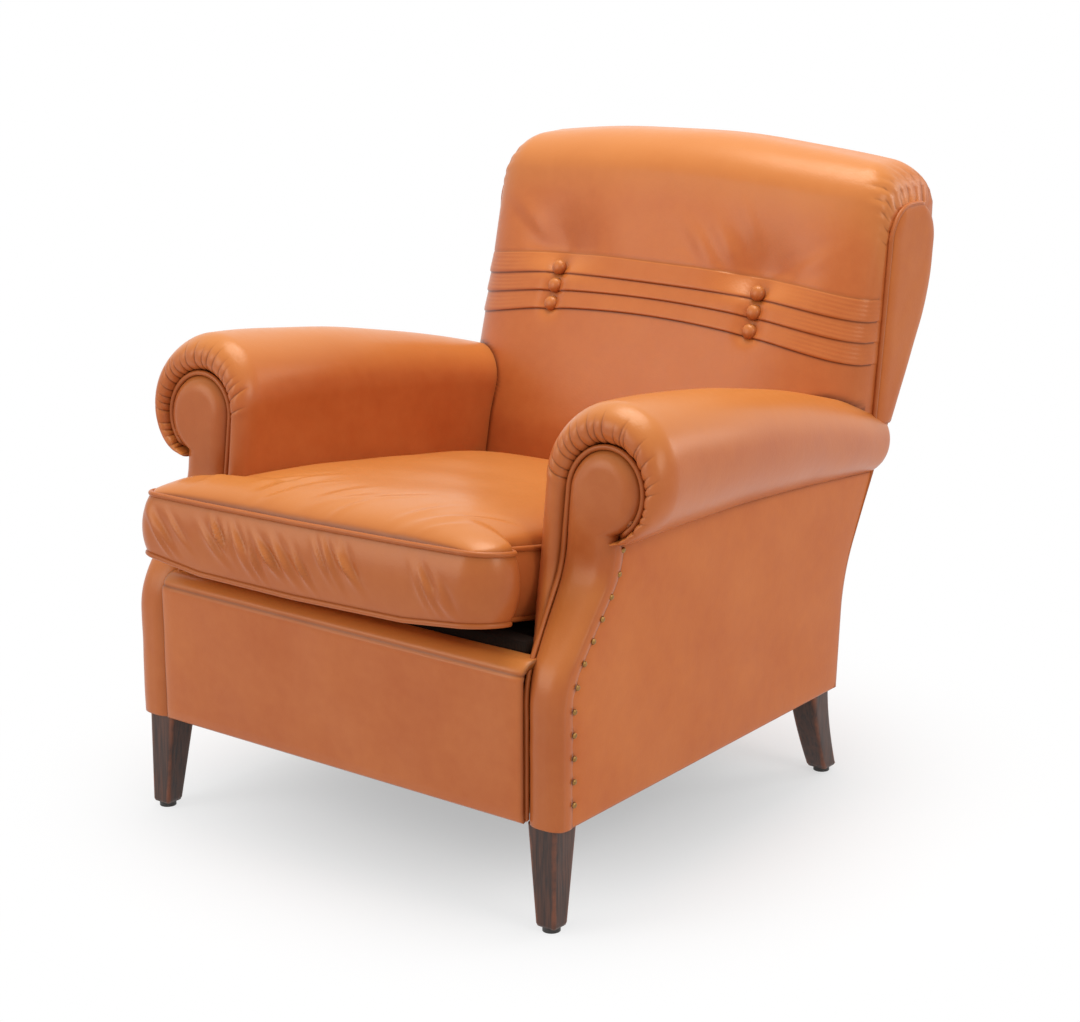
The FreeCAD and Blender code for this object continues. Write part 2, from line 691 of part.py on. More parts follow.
seat_well = apron_front + d.apron_roll + d.fit_gap


def arm_front(z):
    """The depth of the arm pad's front at a height: it leans back as the scroll does."""
    lean = d.scroll_lean / (d.arm_height - d.facing_neck)
    return facing_front + d.arm_setback - d.arm_nose + lean * (z - d.facing_neck)


arm_start = arm_front(d.arm_skirt)
deck_ears = scroll_x - scroll_radius - d.piping_size - 2 * d.fit_gap
deck = doc.addObject("Part::Fuse", unique("seat_deck"))
deck.Base = raked_layer("deck_middle", 0, d.deck_thickness, seat_well, deck_half)
deck.Tool = raked_layer("deck_front", 0, d.deck_thickness, seat_well, deck_ears, arm_start - d.fit_gap)
piece("seat_deck", deck)
lining_top = d.deck_thickness + d.fit_gap
piece("spring_hessian", raked_layer("spring_hessian", lining_top, d.lining_thickness, seat_well, deck_half))
dust_reach = side_rail_inner + d.rail_thickness / 2
dust_low = front_rail_rear - d.rail_thickness / 2
dust = Part.makeBox(
    2 * dust_reach,
    back_post_low - d.fit_gap - dust_low,
    1,
    V(-dust_reach, dust_low, strap_z - d.webbing_thickness - d.fit_gap - 1),
)
piece("dust_cover", group("dust_cover", [dust]))

# Front apron: a padded border that turns back over the seat edge, between the arm facings.
apron_reach = facing_low - d.piping_size - d.fit_gap
apron_side = [
    (apron_front, d.leg_height),
    (apron_front, apron_top, d.apron_round),
    (apron_front + d.apron_roll, apron_top, d.apron_round / 3),
    (apron_front + d.apron_roll, apron_top - d.apron_lip, d.apron_round / 3),
    (apron_front + d.apron_thickness, apron_top - d.apron_lip, d.apron_round / 2),
    (apron_front + d.apron_thickness, d.leg_height),
]
apron_profile = sketch(
    "apron_profile", rounded(apron_side, True), place=FreeCAD.Placement(V(-apron_reach, 0, 0), PLANES["YZ"])
)
facing_room = through("facing_room", facing_outline(d.piping_size + d.fit_gap), "XZ")
apron = extruded("apron_form", apron_profile, 2 * apron_reach)
piece("front_apron", cut("front_apron", apron, facing_room, mirrored(facing_room)))

# Arm facings: scroll-headed boards covered in leather, bent along the S-curve of the arm's front.
facing_shape = through("facing_outline", facing_outline(0), "XZ")
facing_bend = through("facing_bend", rounded(facing_strip(0, d.facing_thickness), True), "YZ")
pair("arm_facing", common("arm_facing", facing_shape, facing_bend))

# Piping runs from the foot of the facing up its inner edge and round the scroll to the throat.
piping_shape = through("piping_outline", facing_outline(d.piping_size), "XZ")
piping_bend = through("piping_bend", rounded(facing_strip(-1, d.piping_size), True), "YZ")
facing_hole = through("facing_hole", facing_outline(d.fit_gap / 2), "XZ")
pair("facing_piping", cut("facing_piping", common("facing_piping", piping_shape, piping_bend), facing_hole))

# Arm pads: the stuffed roll and the inside arm in one, lofted through sections along the arm.
arm_end = rear - d.back_foot + d.arm_reach
SECTION_SHARES = [0, 0.25, 0.5, 0.75, 1]


def arm_section(share, y, form, grow=0.0):
    """A section of an arm form at a share of its length, from 0 at the front to 1 at the rear.

    The forms are the pad itself, the roll above the seam, and the whole arm filled down to the rails.
    """
    crest = d.arm_height - d.arm_fall * share**1.78 + grow
    radius = roll + (d.arm_rear_diameter / 2 - roll) * share**1.25 + grow
    left = arm_inner - grow
    middle_x = left + radius
    middle_z = crest - radius
    outer = left + 2 * radius
    seam_x = panel_face(y, d.fit_gap)
    seam_z = arm_seam - d.arm_seam_fall * share**1.8
    under = ((outer - seam_x) ** 2 + (middle_z - seam_z) ** 2) / (2 * (outer - seam_x))
    turn = math.atan2(middle_z - seam_z, seam_x - (outer - under)) / 2
    half_x = outer - under + under * math.cos(turn)
    half_z = middle_z - under * math.sin(turn)
    slope = radius * math.sqrt(0.5)
    skirt = lining_x - d.fit_gap
    notch = arm_rail_level(y) + d.fit_gap
    ends = {
        "pad": (d.arm_skirt, [(seam_x, notch), (skirt, notch), (skirt, d.arm_skirt)]),
        "roll": (seam_z - grow, [(seam_x, seam_z - grow)]),
        "arm": (rail_bottom, [(seam_x, rail_bottom)]),
    }
    bottom, close = ends[form]
    arcs = [
        Part.LineSegment(V(left, bottom, 0), V(left, middle_z, 0)),
        Part.Arc(V(left, middle_z, 0), V(middle_x - slope, middle_z + slope, 0), V(middle_x, crest, 0)),
        Part.Arc(V(middle_x, crest, 0), V(middle_x + slope, middle_z + slope, 0), V(outer, middle_z, 0)),
        Part.Arc(V(outer, middle_z, 0), V(half_x, half_z, 0), V(seam_x, seam_z, 0)),
    ]
    outline = [(seam_x, seam_z)] + close + [(left, bottom)]
    place = FreeCAD.Placement(V(0, y, 0), PLANES["XZ"])
    return sketch(f"{form}_section", arcs + rounded(outline), place=place)


def arm_loft(stem, form, grow=0.0):
    """An arm form lofted through its sections."""
    made = doc.addObject("Part::Loft", unique(stem))
    made.Sections = [
        arm_section(share, arm_start + (arm_end - arm_start) * share, form, grow) for share in SECTION_SHARES
    ]
    made.Solid = True
    return made


front_low, front_high = arm_front(-FAR), arm_front(FAR)
ahead = [(front_low, -FAR), (front_high, FAR), (-2 * FAR, FAR), (-2 * FAR, -FAR)]
arm_form = cut("arm_form", arm_loft("arm_form", "pad"), through("ahead_of_arm", rounded(ahead, True), "YZ"))
doc.recompute()


def nose_edges(shape):
    """The front edges of the arm pad that are rounded: its inside arm, its roll and the roll's underside."""
    found = []
    for number, edge in enumerate(shape.Edges, start=1):
        spots = edge.discretize(5)
        in_front = all(abs(p.y - arm_front(p.z)) < 0.01 for p in spots)
        inside = all(abs(p.x - arm_inner) < 0.01 for p in spots)
        curved = edge.Length > (spots[-1] - spots[0]).Length * 1.01
        if in_front and (inside or curved):
            found.append(number)
    return found


arm_nose = doc.addObject("Part::Fillet", unique("arm_nose"))
arm_nose.Base = arm_form
arm_nose.Edges = [(n, d.nose_radius, d.nose_radius) for n in nose_edges(arm_form.Shape)]
post_hole = through("post_hole", facing_outline(d.piping_size + d.fit_gap, panel_x, rail_bottom), "XZ")
post_reach = FAR + d.facing_thickness + d.post_thickness + 2 * d.fit_gap
post_depth = through("post_depth", rounded(facing_strip(-FAR, post_reach), True), "YZ")
post_space = common("post_space", post_hole, post_depth)
behind_arm = behind("behind_arm", post_front + d.fit_gap, 0, back_inside + d.fit_gap)
behind_side = behind("behind_side", d.fit_gap, back_inside + d.fit_gap, back_inside + FAR)
pair("arm_pad", cut("arm_pad", arm_nose, post_space, behind_arm, behind_side))

# Inside-arm lining: hessian stretched from the arm rail down to the tack rail.
lining_low = d.side_tack_level + d.side_tack_height / 4
lining_side = [
    (post_low_rear + d.arm_setback + d.scroll_lean, lining_low),
    (rear, lining_low),
    (rear, rail_ends[1][1] - d.arm_rail_height / 2),
    (post_low_rear + d.arm_setback + d.scroll_lean, arm_rail_top - d.arm_rail_height / 2),
]
lining_profile = sketch(
    "arm_lining_profile", rounded(lining_side, True), place=FreeCAD.Placement(V(lining_x, 0, 0), PLANES["YZ"])
)
arm_lining = extruded("arm_lining_sheet", lining_profile, "<lining_thickness>")
pair("arm_lining", cut("arm_lining", arm_lining, behind_posts))

# Outside arms: covered boards from the facing to the rear edge, under the seam of the roll.
panel_front = facing_curve(d.facing_thickness + d.fit_gap)
panel_outline = panel_front + [(rear + FAR, d.arm_height), (rear + FAR, d.leg_height)]
panel_side = through("outside_arm_side", rounded(panel_outline, True), "YZ")
roll_space = arm_loft("roll_space", "roll", d.fit_gap)
above_seam = [(-FAR, arm_seam), (FAR, arm_seam), (FAR, FAR), (-FAR, FAR)]
above_panel = through("above_panel", rounded(above_seam, True), "YZ")
panel_slab = side_slab("outside_arm_slab", 0, d.panel_thickness)
behind_back = behind("behind_back", 0, 0, FAR)
outside_arm = common("outside_arm", panel_side, panel_slab)
pair("outside_arm", cut("outside_arm", outside_arm, behind_back, behind_arm, above_panel, roll_space))


# Dome nails: a row along the front edge of each outside arm, standing on its face.
nail_line = [g.toShape() for g in rounded(facing_curve(d.facing_thickness + d.nail_inset))]
nail_spots = Part.Wire(nail_line).discretize(Distance=d.nail_pitch)[1 : int(d.nail_count) + 1]
nail_lean = d.side_taper / (rear - d.back_foot - facing_front)
nails = []
for spot in nail_spots:
    y, z = spot.x, spot.y
    head = Part.makeCylinder(d.nail_radius, d.nail_radius * 0.7, V(0, 0, 0), V(1, nail_lean, 0))
    rim = max(head.Edges, key=lambda e: e.CenterOfMass.x if e.Length > d.nail_radius * 6 else -1)
    head = head.makeFillet(d.nail_radius * 0.55, [rim])
    head.translate(V(panel_face(y) + 0.05, y, z))
    nails.append(head)
pair("facing_nails", group("facing_nails", nails))

# Outside back: one covered board along the rear curve, from the frame's underside to the crest rail.
outside_profile = sketch(
    "outside_back_profile",
    rounded(back_strip(0, d.panel_thickness), True),
    place=FreeCAD.Placement(V(-back_inside, 0, 0), PLANES["YZ"]),
)
piece("outside_back", extruded("outside_back", outside_profile, 2 * back_inside))

# Back webbing and hessian: stretched over the front of the back rails.
webbing_shift = post_front + d.fit_gap
lining_shift = webbing_shift + d.webbing_thickness + d.fit_gap
stretch = [(-FAR, d.tack_rail_level), (FAR, d.tack_rail_level), (FAR, crest_level), (-FAR, crest_level)]
stretch_level = through("stretch_level", rounded(stretch, True), "XZ")


def stretched(stem, shift, thickness, low_x, high_x):
    """A sheet over the front of the back rails between two widths."""
    place = FreeCAD.Placement(V(low_x, 0, 0), PLANES["YZ"])
    flat = sketch(f"{stem}_profile", rounded(back_strip(shift, thickness), True), place=place)
    return common(stem, extruded(f"{stem}_sheet", flat, high_x - low_x), stretch_level)


back_straps = []
for row in spring_rows:
    middle = row * d.spring_pitch_across
    half = d.webbing_width / 2
    back_straps.append(stretched("back_strap", webbing_shift, d.webbing_thickness, middle - half, middle + half))
doc.recompute()
piece("back_webbing", group("back_webbing", [strap.Shape for strap in back_straps]))
lining_reach = arm_inner - 2 * d.fit_gap
piece("back_hessian", stretched("back_hessian", lining_shift, d.lining_thickness, -lining_reach, lining_reach))

# Inside back: one stuffed pad lofted through upright sections, fullest in the middle and rounded off
# towards its sides, with the top arched.
pad_shift = lining_shift + d.lining_thickness + d.fit_gap
pad_low = rail_top + 2
pad_end = crest_level + 2 * d.fit_gap + 2


def blend(share, middle, side):
    """A value that keeps to the middle of the back and rounds off to another at its sides."""
    return side + (middle - side) * math.sqrt(1 - share**4)


def pad_top(share):
    """The top of the back at a share of its half width: an arch with rounded corners."""
    radius = d.overall_height - d.back_arch - side_panel_top
    reach = max(0, share * back_inside - (back_inside - radius))
    return d.overall_height - d.back_arch * share**2 - radius + math.sqrt(max(0, radius**2 - reach**2))


def pad_rear(z):
    """The depth of the rear of the inside back at a height between its two bends."""
    low, high = back_curve(pad_shift)[1:3]
    return low[0] + (high[0] - low[0]) * (z - low[1]) / (high[1] - low[1])


side_bend = pad_rear(d.back_pad_bend_level + d.back_side_rise) - d.back_side_depth


def pad_front(share):
    """The front of the inside back at a share of its half width, as points (y, z, radius)."""
    top = pad_top(share)
    foot = rear - d.back_pad_foot
    knee = foot + d.back_pad_toe
    bend = rear - d.back_pad_bend
    bend_level = d.back_pad_bend_level + blend(share, 0, d.back_side_rise)
    crown = rear - d.back_pad_crown
    crown_round = blend(share, d.back_crown_round, d.back_corner_round)
    rear_face = rear - blend(share, d.back_rear_set, d.back_rear_side)
    return [
        (blend(share, foot, foot + d.back_side_set), pad_low),
        (blend(share, knee, knee + d.back_side_knee), d.back_knee_level, d.back_pad_low_round),
        (blend(share, bend, side_bend), bend_level, d.back_pad_round),
        (blend(share, crown, crown + d.back_side_crown), top, crown_round),
        (rear_face, top, 0.6 * (top - pad_end)),
        (rear_face, pad_end),
    ]


def pad_section(share):
    """A section of the inside back, on the left for a negative share and on the right for a positive one."""
    size = abs(share)
    knee = back_curve(pad_shift)
    inner = [(knee[3][0], pad_end), knee[2], knee[1]]
    slope = (knee[1][0] - knee[0][0]) / (knee[1][1] - knee[0][1])
    inner.append((knee[1][0] - slope * (knee[1][1] - pad_low), pad_low))
    place = FreeCAD.Placement(V(share * back_inside, 0, 0), PLANES["YZ"])
    return sketch("back_section", rounded(pad_front(size) + inner, True), place=place)


half_shares = [0.45, 0.75, 0.9, 0.97, 1]
back_form = doc.addObject("Part::Loft", unique("back_form"))
back_form.Sections = [pad_section(s) for s in [-s for s in half_shares[::-1]] + [0] + half_shares]
back_form.Solid = True
arm_space = arm_loft("arm_space", "arm", d.fit_gap * 1.3)
left_space = mirrored(arm_space)

# Buttons: two columns of three that pull the inside back in.
button_share = d.button_spread / 2 / back_inside
button_face = pad_front(button_share)
low_y, low_z = button_face[2][:2]
high_y, high_z = button_face[3][:2]
along = V(0, high_y - low_y, high_z - low_z).normalize()
outward = V(0, -along.z, along.y)
pits, buttons = [], []
for side in (1, -1):
    for row in range(3):
        rise = (button_level - low_z) / along.z + row * d.button_pitch
        spot = V(side * d.button_spread / 2, low_y, low_z) + along * rise
        floor = spot - outward * d.button_sink
        pits.append(Part.makeCylinder(d.button_radius + 2, 4 * d.button_sink, floor, outward))
        button = Part.makeCylinder(d.button_radius, d.button_height, floor + outward * d.fit_gap, outward)
        rim = max(button.Edges, key=lambda e: outward.dot(e.CenterOfMass) if e.Closed else -FAR)
        buttons.append(button.makeFillet(d.button_height * 0.6, [rim]))
pit_group = group("button_pits", pits)
piece("back_buttons", group("back_buttons", buttons))
piece("back_pad", cut("back_pad", back_form, arm_space, left_space, pit_group))

# Side panels of the back, with their piping along the front edge and over the top.
seam_low = rear - d.side_panel_foot


def side_panel_outline(grow):
    """The side panel's outline, grown at its front edge and its top."""
    curve = back_curve(0)
    level = d.arm_height - d.arm_fall - d.side_panel_lap
    slope = (curve[2][0] - curve[1][0]) / (curve[2][1] - curve[1][1])
    return [
        (seam_low - grow, level),
        (seam_low + d.side_panel_lean - grow, side_panel_top - 1.3 * d.side_panel_round, 300),
        (seam_low + 1.25 * d.side_panel_lean - grow, side_panel_top + grow, d.side_panel_round + grow),
        (rear, side_panel_top + grow, d.side_panel_round + grow),
        curve[2],
        (curve[1][0] + slope * (level - curve[1][1]), level),
    ]


side_place = FreeCAD.Placement(V(back_half - d.side_panel_thickness, 0, 0), PLANES["YZ"])
side_profile = sketch("side_panel_profile", rounded(side_panel_outline(0), True), place=side_place)
side_panel = extruded("side_panel", side_profile, "<side_panel_thickness>")
pair("back_side", cut("back_side", side_panel, arm_space))
welt_profile = sketch("side_welt_profile", rounded(side_panel_outline(d.piping_size), True), place=side_place)
welt = extruded("side_welt", welt_profile, "<side_panel_thickness> + 1")
welt_hole_profile = sketch("side_hole_profile", rounded(side_panel_outline(d.fit_gap / 2), True), place=side_place)
welt_hole = extruded("side_hole", welt_hole_profile, "2 * <side_panel_thickness>", "<side_panel_thickness>")
pair("back_piping", cut("back_piping", welt, welt_hole, arm_space))

# Seat cushion: loose and T-shaped, a foam core in a leather cover with a boxing strip and two piped seams.
# It is drawn flat and laid on the raked seat.
cushion_place = FreeCAD.Placement(V(0, front, d.cushion_level), FreeCAD.Rotation(V(1, 0, 0), -d.seat_rake))
cord_out = d.piping_size * 0.4
cord_in = d.piping_size - cord_out
cushion_rear = rear - d.back_pad_foot + d.back_pad_toe - d.cushion_back_gap
cushion_length = (cushion_rear - front) / math.cos(rake) - cord_out


def cushion_outline(grow):
    """The cushion's T-shaped outline, grown on every side."""
    ear = d.cushion_ear_width / 2 - cord_out + grow
    middle = arm_inner - d.cushion_clearance - cord_out + grow
    near = cord_out - grow
    step = d.cushion_ear - cord_out + grow
    far = cushion_length + grow
    right = [
        (ear, near, d.cushion_front_round + grow),
        (ear, step, d.cushion_ear_round + grow),
        (middle, step, d.cushion_ear_round - grow),
        (middle, far, d.cushion_rear_round + grow),
    ]
    return right + [(-x, y, r) for x, y, r in right[::-1]]


def raised(level):
    """The cushion's placement, moved up along its own thickness."""
    return cushion_place.multiply(FreeCAD.Placement(V(0, 0, level), FreeCAD.Rotation()))


def cushion_layer(stem, grow, low, high):
    """The cushion's outline extruded between two levels of its thickness."""
    flat = sketch(f"{stem}_profile", rounded(cushion_outline(grow), True), place=raised(low))
    return extruded(stem, flat, high - low)


def crown(stem, level, thickness):
    """A swelling sheet over the cushion: highest in the middle and level along its edges."""
    wide = d.cushion_ear_width / 2
    long = cushion_length / 2
    half = [0.35, 0.7, 0.88, 0.97, 1]
    shares = [-share for share in half[::-1]] + [0] + half
    fullness = [math.sqrt(1 - share**4) for share in shares]
    grid = [
        [V(u * wide, long + v * long, level + d.cushion_crown * a * b) for v, b in zip(shares, fullness)]
        for u, a in zip(shares, fullness)
    ]
    surface = Part.BSplineSurface()
    surface.interpolate(grid)
    made = doc.addObject("Part::Feature", unique(stem))
    made.Shape = surface.toShape().extrude(V(0, 0, -thickness))
    made.Placement = cushion_place
    return made


inside = -cord_in - d.fit_gap
boxing_low = d.piping_size + d.fit_gap
boxing_high = d.cushion_thickness - d.piping_size - d.fit_gap
boxing_out = cushion_layer("boxing_outside", 0, boxing_low, boxing_high)
boxing_in = cushion_layer("boxing_inside", -d.cushion_cover, boxing_low - 1, boxing_high + 1)
piece("cushion_boxing", cut("cushion_boxing", boxing_out, boxing_in))
piece("cushion_bottom", cushion_layer("cushion_bottom", inside, 0, d.cushion_cover))
top_reach = cushion_layer("cushion_top_reach", inside, 0, d.cushion_thickness + 2 * d.cushion_crown)
top_sheet = crown("cushion_top_sheet", d.cushion_thickness, d.cushion_cover)
piece("cushion_top", common("cushion_top", top_reach, top_sheet))
core_level = d.cushion_cover + d.fit_gap
core_reach = cushion_layer("cushion_core_reach", inside - d.fit_gap, core_level, 2 * d.cushion_thickness)
core_form = crown("cushion_core_form", d.cushion_thickness - core_level, d.cushion_thickness * 2)
piece("cushion_core", common("cushion_core", core_reach, core_form))
cords = []
for level in (0, d.cushion_thickness - d.piping_size):
    outer = cushion_layer("cord_outside", cord_out, level, level + d.piping_size)
    inner = cushion_layer("cord_inside", -cord_in, level - 1, level + d.piping_size + 1)
    cords.append(cut("cushion_cord", outer, inner))
doc.recompute()
piece("cushion_piping", group("cushion_piping", [cord.Shape for cord in cords]))

# Every feature is checked, and each sub-part is written as a file of its own.
doc.recompute()
for feature in doc.Objects:
    bad = [state for state in feature.State if state in ("Invalid", "Error")]
    if bad:
        raise RuntimeError(f"{feature.Name} is {bad}")
os.makedirs("parts", exist_ok=True)
for made in pieces:
    shape = made.Shape
    if shape.isNull() or not shape.isValid() or not shape.Solids:
        raise RuntimeError(f"{made.Label} is not a valid solid")
    shape.exportStep(f"parts/{made.Label}.step")
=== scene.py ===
import math

import bmesh
import bpy
import numpy as np
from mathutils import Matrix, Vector


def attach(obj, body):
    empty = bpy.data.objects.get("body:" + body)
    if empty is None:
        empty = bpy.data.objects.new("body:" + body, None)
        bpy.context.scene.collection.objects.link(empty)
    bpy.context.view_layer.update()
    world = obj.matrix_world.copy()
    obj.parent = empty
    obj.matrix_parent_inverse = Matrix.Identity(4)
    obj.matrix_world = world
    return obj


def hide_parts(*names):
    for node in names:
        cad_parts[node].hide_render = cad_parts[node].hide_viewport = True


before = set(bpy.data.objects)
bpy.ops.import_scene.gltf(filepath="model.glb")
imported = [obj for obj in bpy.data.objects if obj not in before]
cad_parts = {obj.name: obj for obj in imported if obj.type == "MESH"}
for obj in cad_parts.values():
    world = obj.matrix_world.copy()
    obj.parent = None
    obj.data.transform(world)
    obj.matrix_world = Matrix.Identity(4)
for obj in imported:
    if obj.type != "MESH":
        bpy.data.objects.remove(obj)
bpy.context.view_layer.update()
scene = bpy.context.scene
scene.view_settings.view_transform = "Standard"

# Camera: it stands to the right of the chair's front, a little above the seat, where the photograph was
# taken from, with the lens that the photograph's perspective gives.
camera_at = Vector((1.8159, -2.3431, 1.1549))
camera_aim = Vector((0.001, -0.005, 0.3404))
camera_data = bpy.data.cameras.new("camera")
camera_data.sensor_width = 36
camera_data.lens = 84.23
camera = bpy.data.objects.new("camera", camera_data)
camera.location = camera_at
camera.rotation_euler = (camera_aim - camera_at).to_track_quat("-Z", "Y").to_euler()
scene.collection.objects.link(camera)
scene.camera = camera


# Studio: a white paper floor that fades into a white surround, and soft lamps: a large one overhead, one at
# the right, one at the rear right and a fill at the front left.
def linear(code):
    """A colour written as sRGB hex, as the linear red, green, blue and alpha that Blender takes."""
    parts = np.array([int(code[i : i + 2], 16) for i in (1, 3, 5)]) / 255
    low, high = parts / 12.92, ((parts + 0.055) / 1.055) ** 2.4
    return (*np.where(parts <= 0.04045, low, high).tolist(), 1.0)


def add(tree, kind, feeds=None, **settings):
    """Adds a node: settings are its properties, and feeds are its sockets' values or what feeds them: a
    socket, or a node, which stands for its first output."""
    made = tree.nodes.new(kind)
    for name, value in settings.items():
        setattr(made, name, value)
    for name, value in (feeds or {}).items():
        value = value.outputs[0] if isinstance(value, bpy.types.Node) else value
        if isinstance(value, bpy.types.NodeSocket):
            tree.links.new(value, made.inputs[name])
        else:
            made.inputs[name].default_value = value
    return made


def new_material(name):
    """An empty node material and its tree."""
    made = bpy.data.materials.new(name)
    made.use_nodes = True
    made.node_tree.nodes.clear()
    return made, made.node_tree


def seen_rays(tree):
    """1 for the rays that show the white surround itself: camera, glossy and transmission rays."""
    rays = add(tree, "ShaderNodeLightPath").outputs
    seen = rays["Is Camera Ray"]
    for kind in ("Is Glossy Ray", "Is Transmission Ray"):
        seen = add(tree, "ShaderNodeMath", {0: seen, 1: rays[kind]}, operation="MAXIMUM")
    return seen


floor_half = 30.0
fade_start, fade_end = 0.12, 0.75
near_glow, full_glow, ambient_glow = 0.42, 1.0, 0.54
pure_white = (1, 1, 1, 1)
paper, tree = new_material("studio_paper")
place = add(tree, "ShaderNodeTexCoord")
far = add(tree, "ShaderNodeVectorMath", {0: place.outputs["Object"]}, operation="LENGTH")
fade = add(
    tree,
    "ShaderNodeMapRange",
    {"Value": far.outputs["Value"], "From Min": fade_start, "From Max": fade_end, "To Min": near_glow},
    interpolation_type="SMOOTHSTEP",
)
shown = add(tree, "ShaderNodeMath", {0: fade, 1: seen_rays(tree)}, operation="MULTIPLY")
lit = add(tree, "ShaderNodeBsdfDiffuse", {"Color": linear("#F4F4F4")})
glow = add(tree, "ShaderNodeEmission", {"Color": pure_white, "Strength": full_glow})
mixed = add(tree, "ShaderNodeMixShader", {0: shown, 1: lit, 2: glow})
add(tree, "ShaderNodeOutputMaterial", {"Surface": mixed})
floor_mesh = bpy.data.meshes.new("studio_floor")
floor_corners = [(-1, -1), (1, -1), (1, 1), (-1, 1)]
floor_mesh.from_pydata([(x * floor_half, y * floor_half, 0) for x, y in floor_corners], [], [(0, 1, 2, 3)])
floor_mesh.materials.append(paper)
floor = bpy.data.objects.new("studio_floor", floor_mesh)
scene.collection.objects.link(floor)

world = bpy.data.worlds.new("studio_surround")
scene.world = world
world.use_nodes = True
tree = world.node_tree
tree.nodes.clear()
ambient = add(tree, "ShaderNodeBackground", {"Color": pure_white, "Strength": ambient_glow})
white = add(tree, "ShaderNodeBackground", {"Color": pure_white, "Strength": full_glow})
mixed = add(tree, "ShaderNodeMixShader", {0: seen_rays(tree), 1: ambient, 2: white})
add(tree, "ShaderNodeOutputWorld", {"Surface": mixed})

lamps = [
    ("key_lamp", (-0.1, 0.2, 2.8), (0.0, 0.0, 0.4), 1.7, 46),
    ("side_lamp", (2.6, -0.3, 1.9), (0.1, 0.1, 0.4), 1.1, 15),
    ("front_lamp", (-1.5, -2.5, 1.55), (0.0, 0.0, 0.45), 1.7, 20),
    ("rear_lamp", (1.7, 2.4, 1.6), (0.1, 0.0, 0.4), 1.0, 9),
]
for name, at, aim, size, watts in lamps:
    lamp_data = bpy.data.lights.new(name, "AREA")
    lamp_data.shape = "DISK"
    lamp_data.size = size
    lamp_data.energy = watts
    lamp = bpy.data.objects.new(name, lamp_data)
    lamp.location = at
    lamp.rotation_euler = (Vector(aim) - Vector(at)).to_track_quat("-Z", "Y").to_euler()
    scene.collection.objects.link(lamp)


# Timber frame: sawn beech posts, rails and corner blocks, dowelled and glued, all hidden by the upholstery.
# Beech is pale, with short dark flecks along the grain.
fleck_width, fleck_length = 0.0015, 0.012


def grained(tree, width, length, tones, **noise):
    """Wood with upright grain: a noise of a width and length, and a ramp over it between two tones, each
    with its position. Returns the noise and the ramp."""
    place = add(tree, "ShaderNodeTexCoord").outputs["Object"]
    stretch = add(tree, "ShaderNodeMapping", {"Vector": place, "Scale": (1 / width, 1 / width, 1 / length)})
    grain = add(tree, "ShaderNodeTexNoise", {"Vector": stretch, "Scale": 1.0, **noise})
    ramp = add(tree, "ShaderNodeValToRGB", {"Fac": grain})
    for stop, (position, colour) in zip(ramp.color_ramp.elements, tones):
        stop.position = position
        stop.color = linear(colour)
    return grain, ramp


beech, tree = new_material("sawn_beech")
fleck, tone = grained(tree, fleck_width, fleck_length, ((0.34, "#9C7247"), (0.56, "#CDA878")), Detail=3.0)
relief = add(tree, "ShaderNodeBump", {"Height": fleck, "Strength": 0.15, "Distance": 0.0006})
shader = add(
    tree,
    "ShaderNodeBsdfPrincipled",
    {"Base Color": tone, "Roughness": 0.62, "IOR": 1.5, "Normal": relief},
)
add(tree, "ShaderNodeOutputMaterial", {"Surface": shader})


def finish_node(node, material):
    """Gives a carried-over solid its finish."""
    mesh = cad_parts[node].data
    mesh.materials.clear()
    mesh.materials.append(material)


sides = ((1, "right"), (-1, "left"))
beech_pairs = ("front_post", "back_post", "side_seat_rail", "arm_rail", "arm_tack_rail")
beech_nodes = [f"{stem}_{word}" for stem in beech_pairs for side, word in sides]
beech_nodes += ["front_seat_rail", "back_seat_rail", "lower_back_rail", "crest_rail", "corner_blocks"]
for node in beech_nodes:
    finish_node(node, beech)

# Legs: square tapered hardwood legs, stained dark brown and worn to reddish wood along their edges; the
# rear pair sweeps back. Each is screwed to its post by a steel stud and stands on a plastic glide.
grain_width, grain_length = 0.0035, 0.05
scuff_size = 0.02
stained, tree = new_material("stained_hardwood")
stain = ((0.3, "#26140D"), (0.68, "#54301F"))
grain, tone = grained(tree, grain_width, grain_length, stain, Detail=4.0, Distortion=0.6)
place = add(tree, "ShaderNodeTexCoord").outputs["Object"]
scuff = add(tree, "ShaderNodeTexNoise", {"Vector": place, "Scale": 1 / scuff_size, "Detail": 5.0})
edge = add(tree, "ShaderNodeAttribute", attribute_name="wear")
worn = add(tree, "ShaderNodeMath", {0: edge.outputs["Fac"], 1: scuff}, operation="MULTIPLY")
worn = add(tree, "ShaderNodeMapRange", {"Value": worn, "From Min": 0.3, "From Max": 0.62, "To Max": 0.75})
shade = add(tree, "ShaderNodeMix", {0: worn, 6: tone, 7: linear("#874A2C")}, data_type="RGBA")
gloss = add(tree, "ShaderNodeMapRange", {"Value": scuff, "To Min": 0.3, "To Max": 0.55})
relief = add(tree, "ShaderNodeBump", {"Height": grain, "Strength": 0.25, "Distance": 0.0008})
shader = add(
    tree,
    "ShaderNodeBsdfPrincipled",
    {"Base Color": shade.outputs[2], "Roughness": gloss, "IOR": 1.5, "Normal": relief},
)
add(tree, "ShaderNodeOutputMaterial", {"Surface": shader})

meets_within, top_light_slope = 1e-6, 0.25


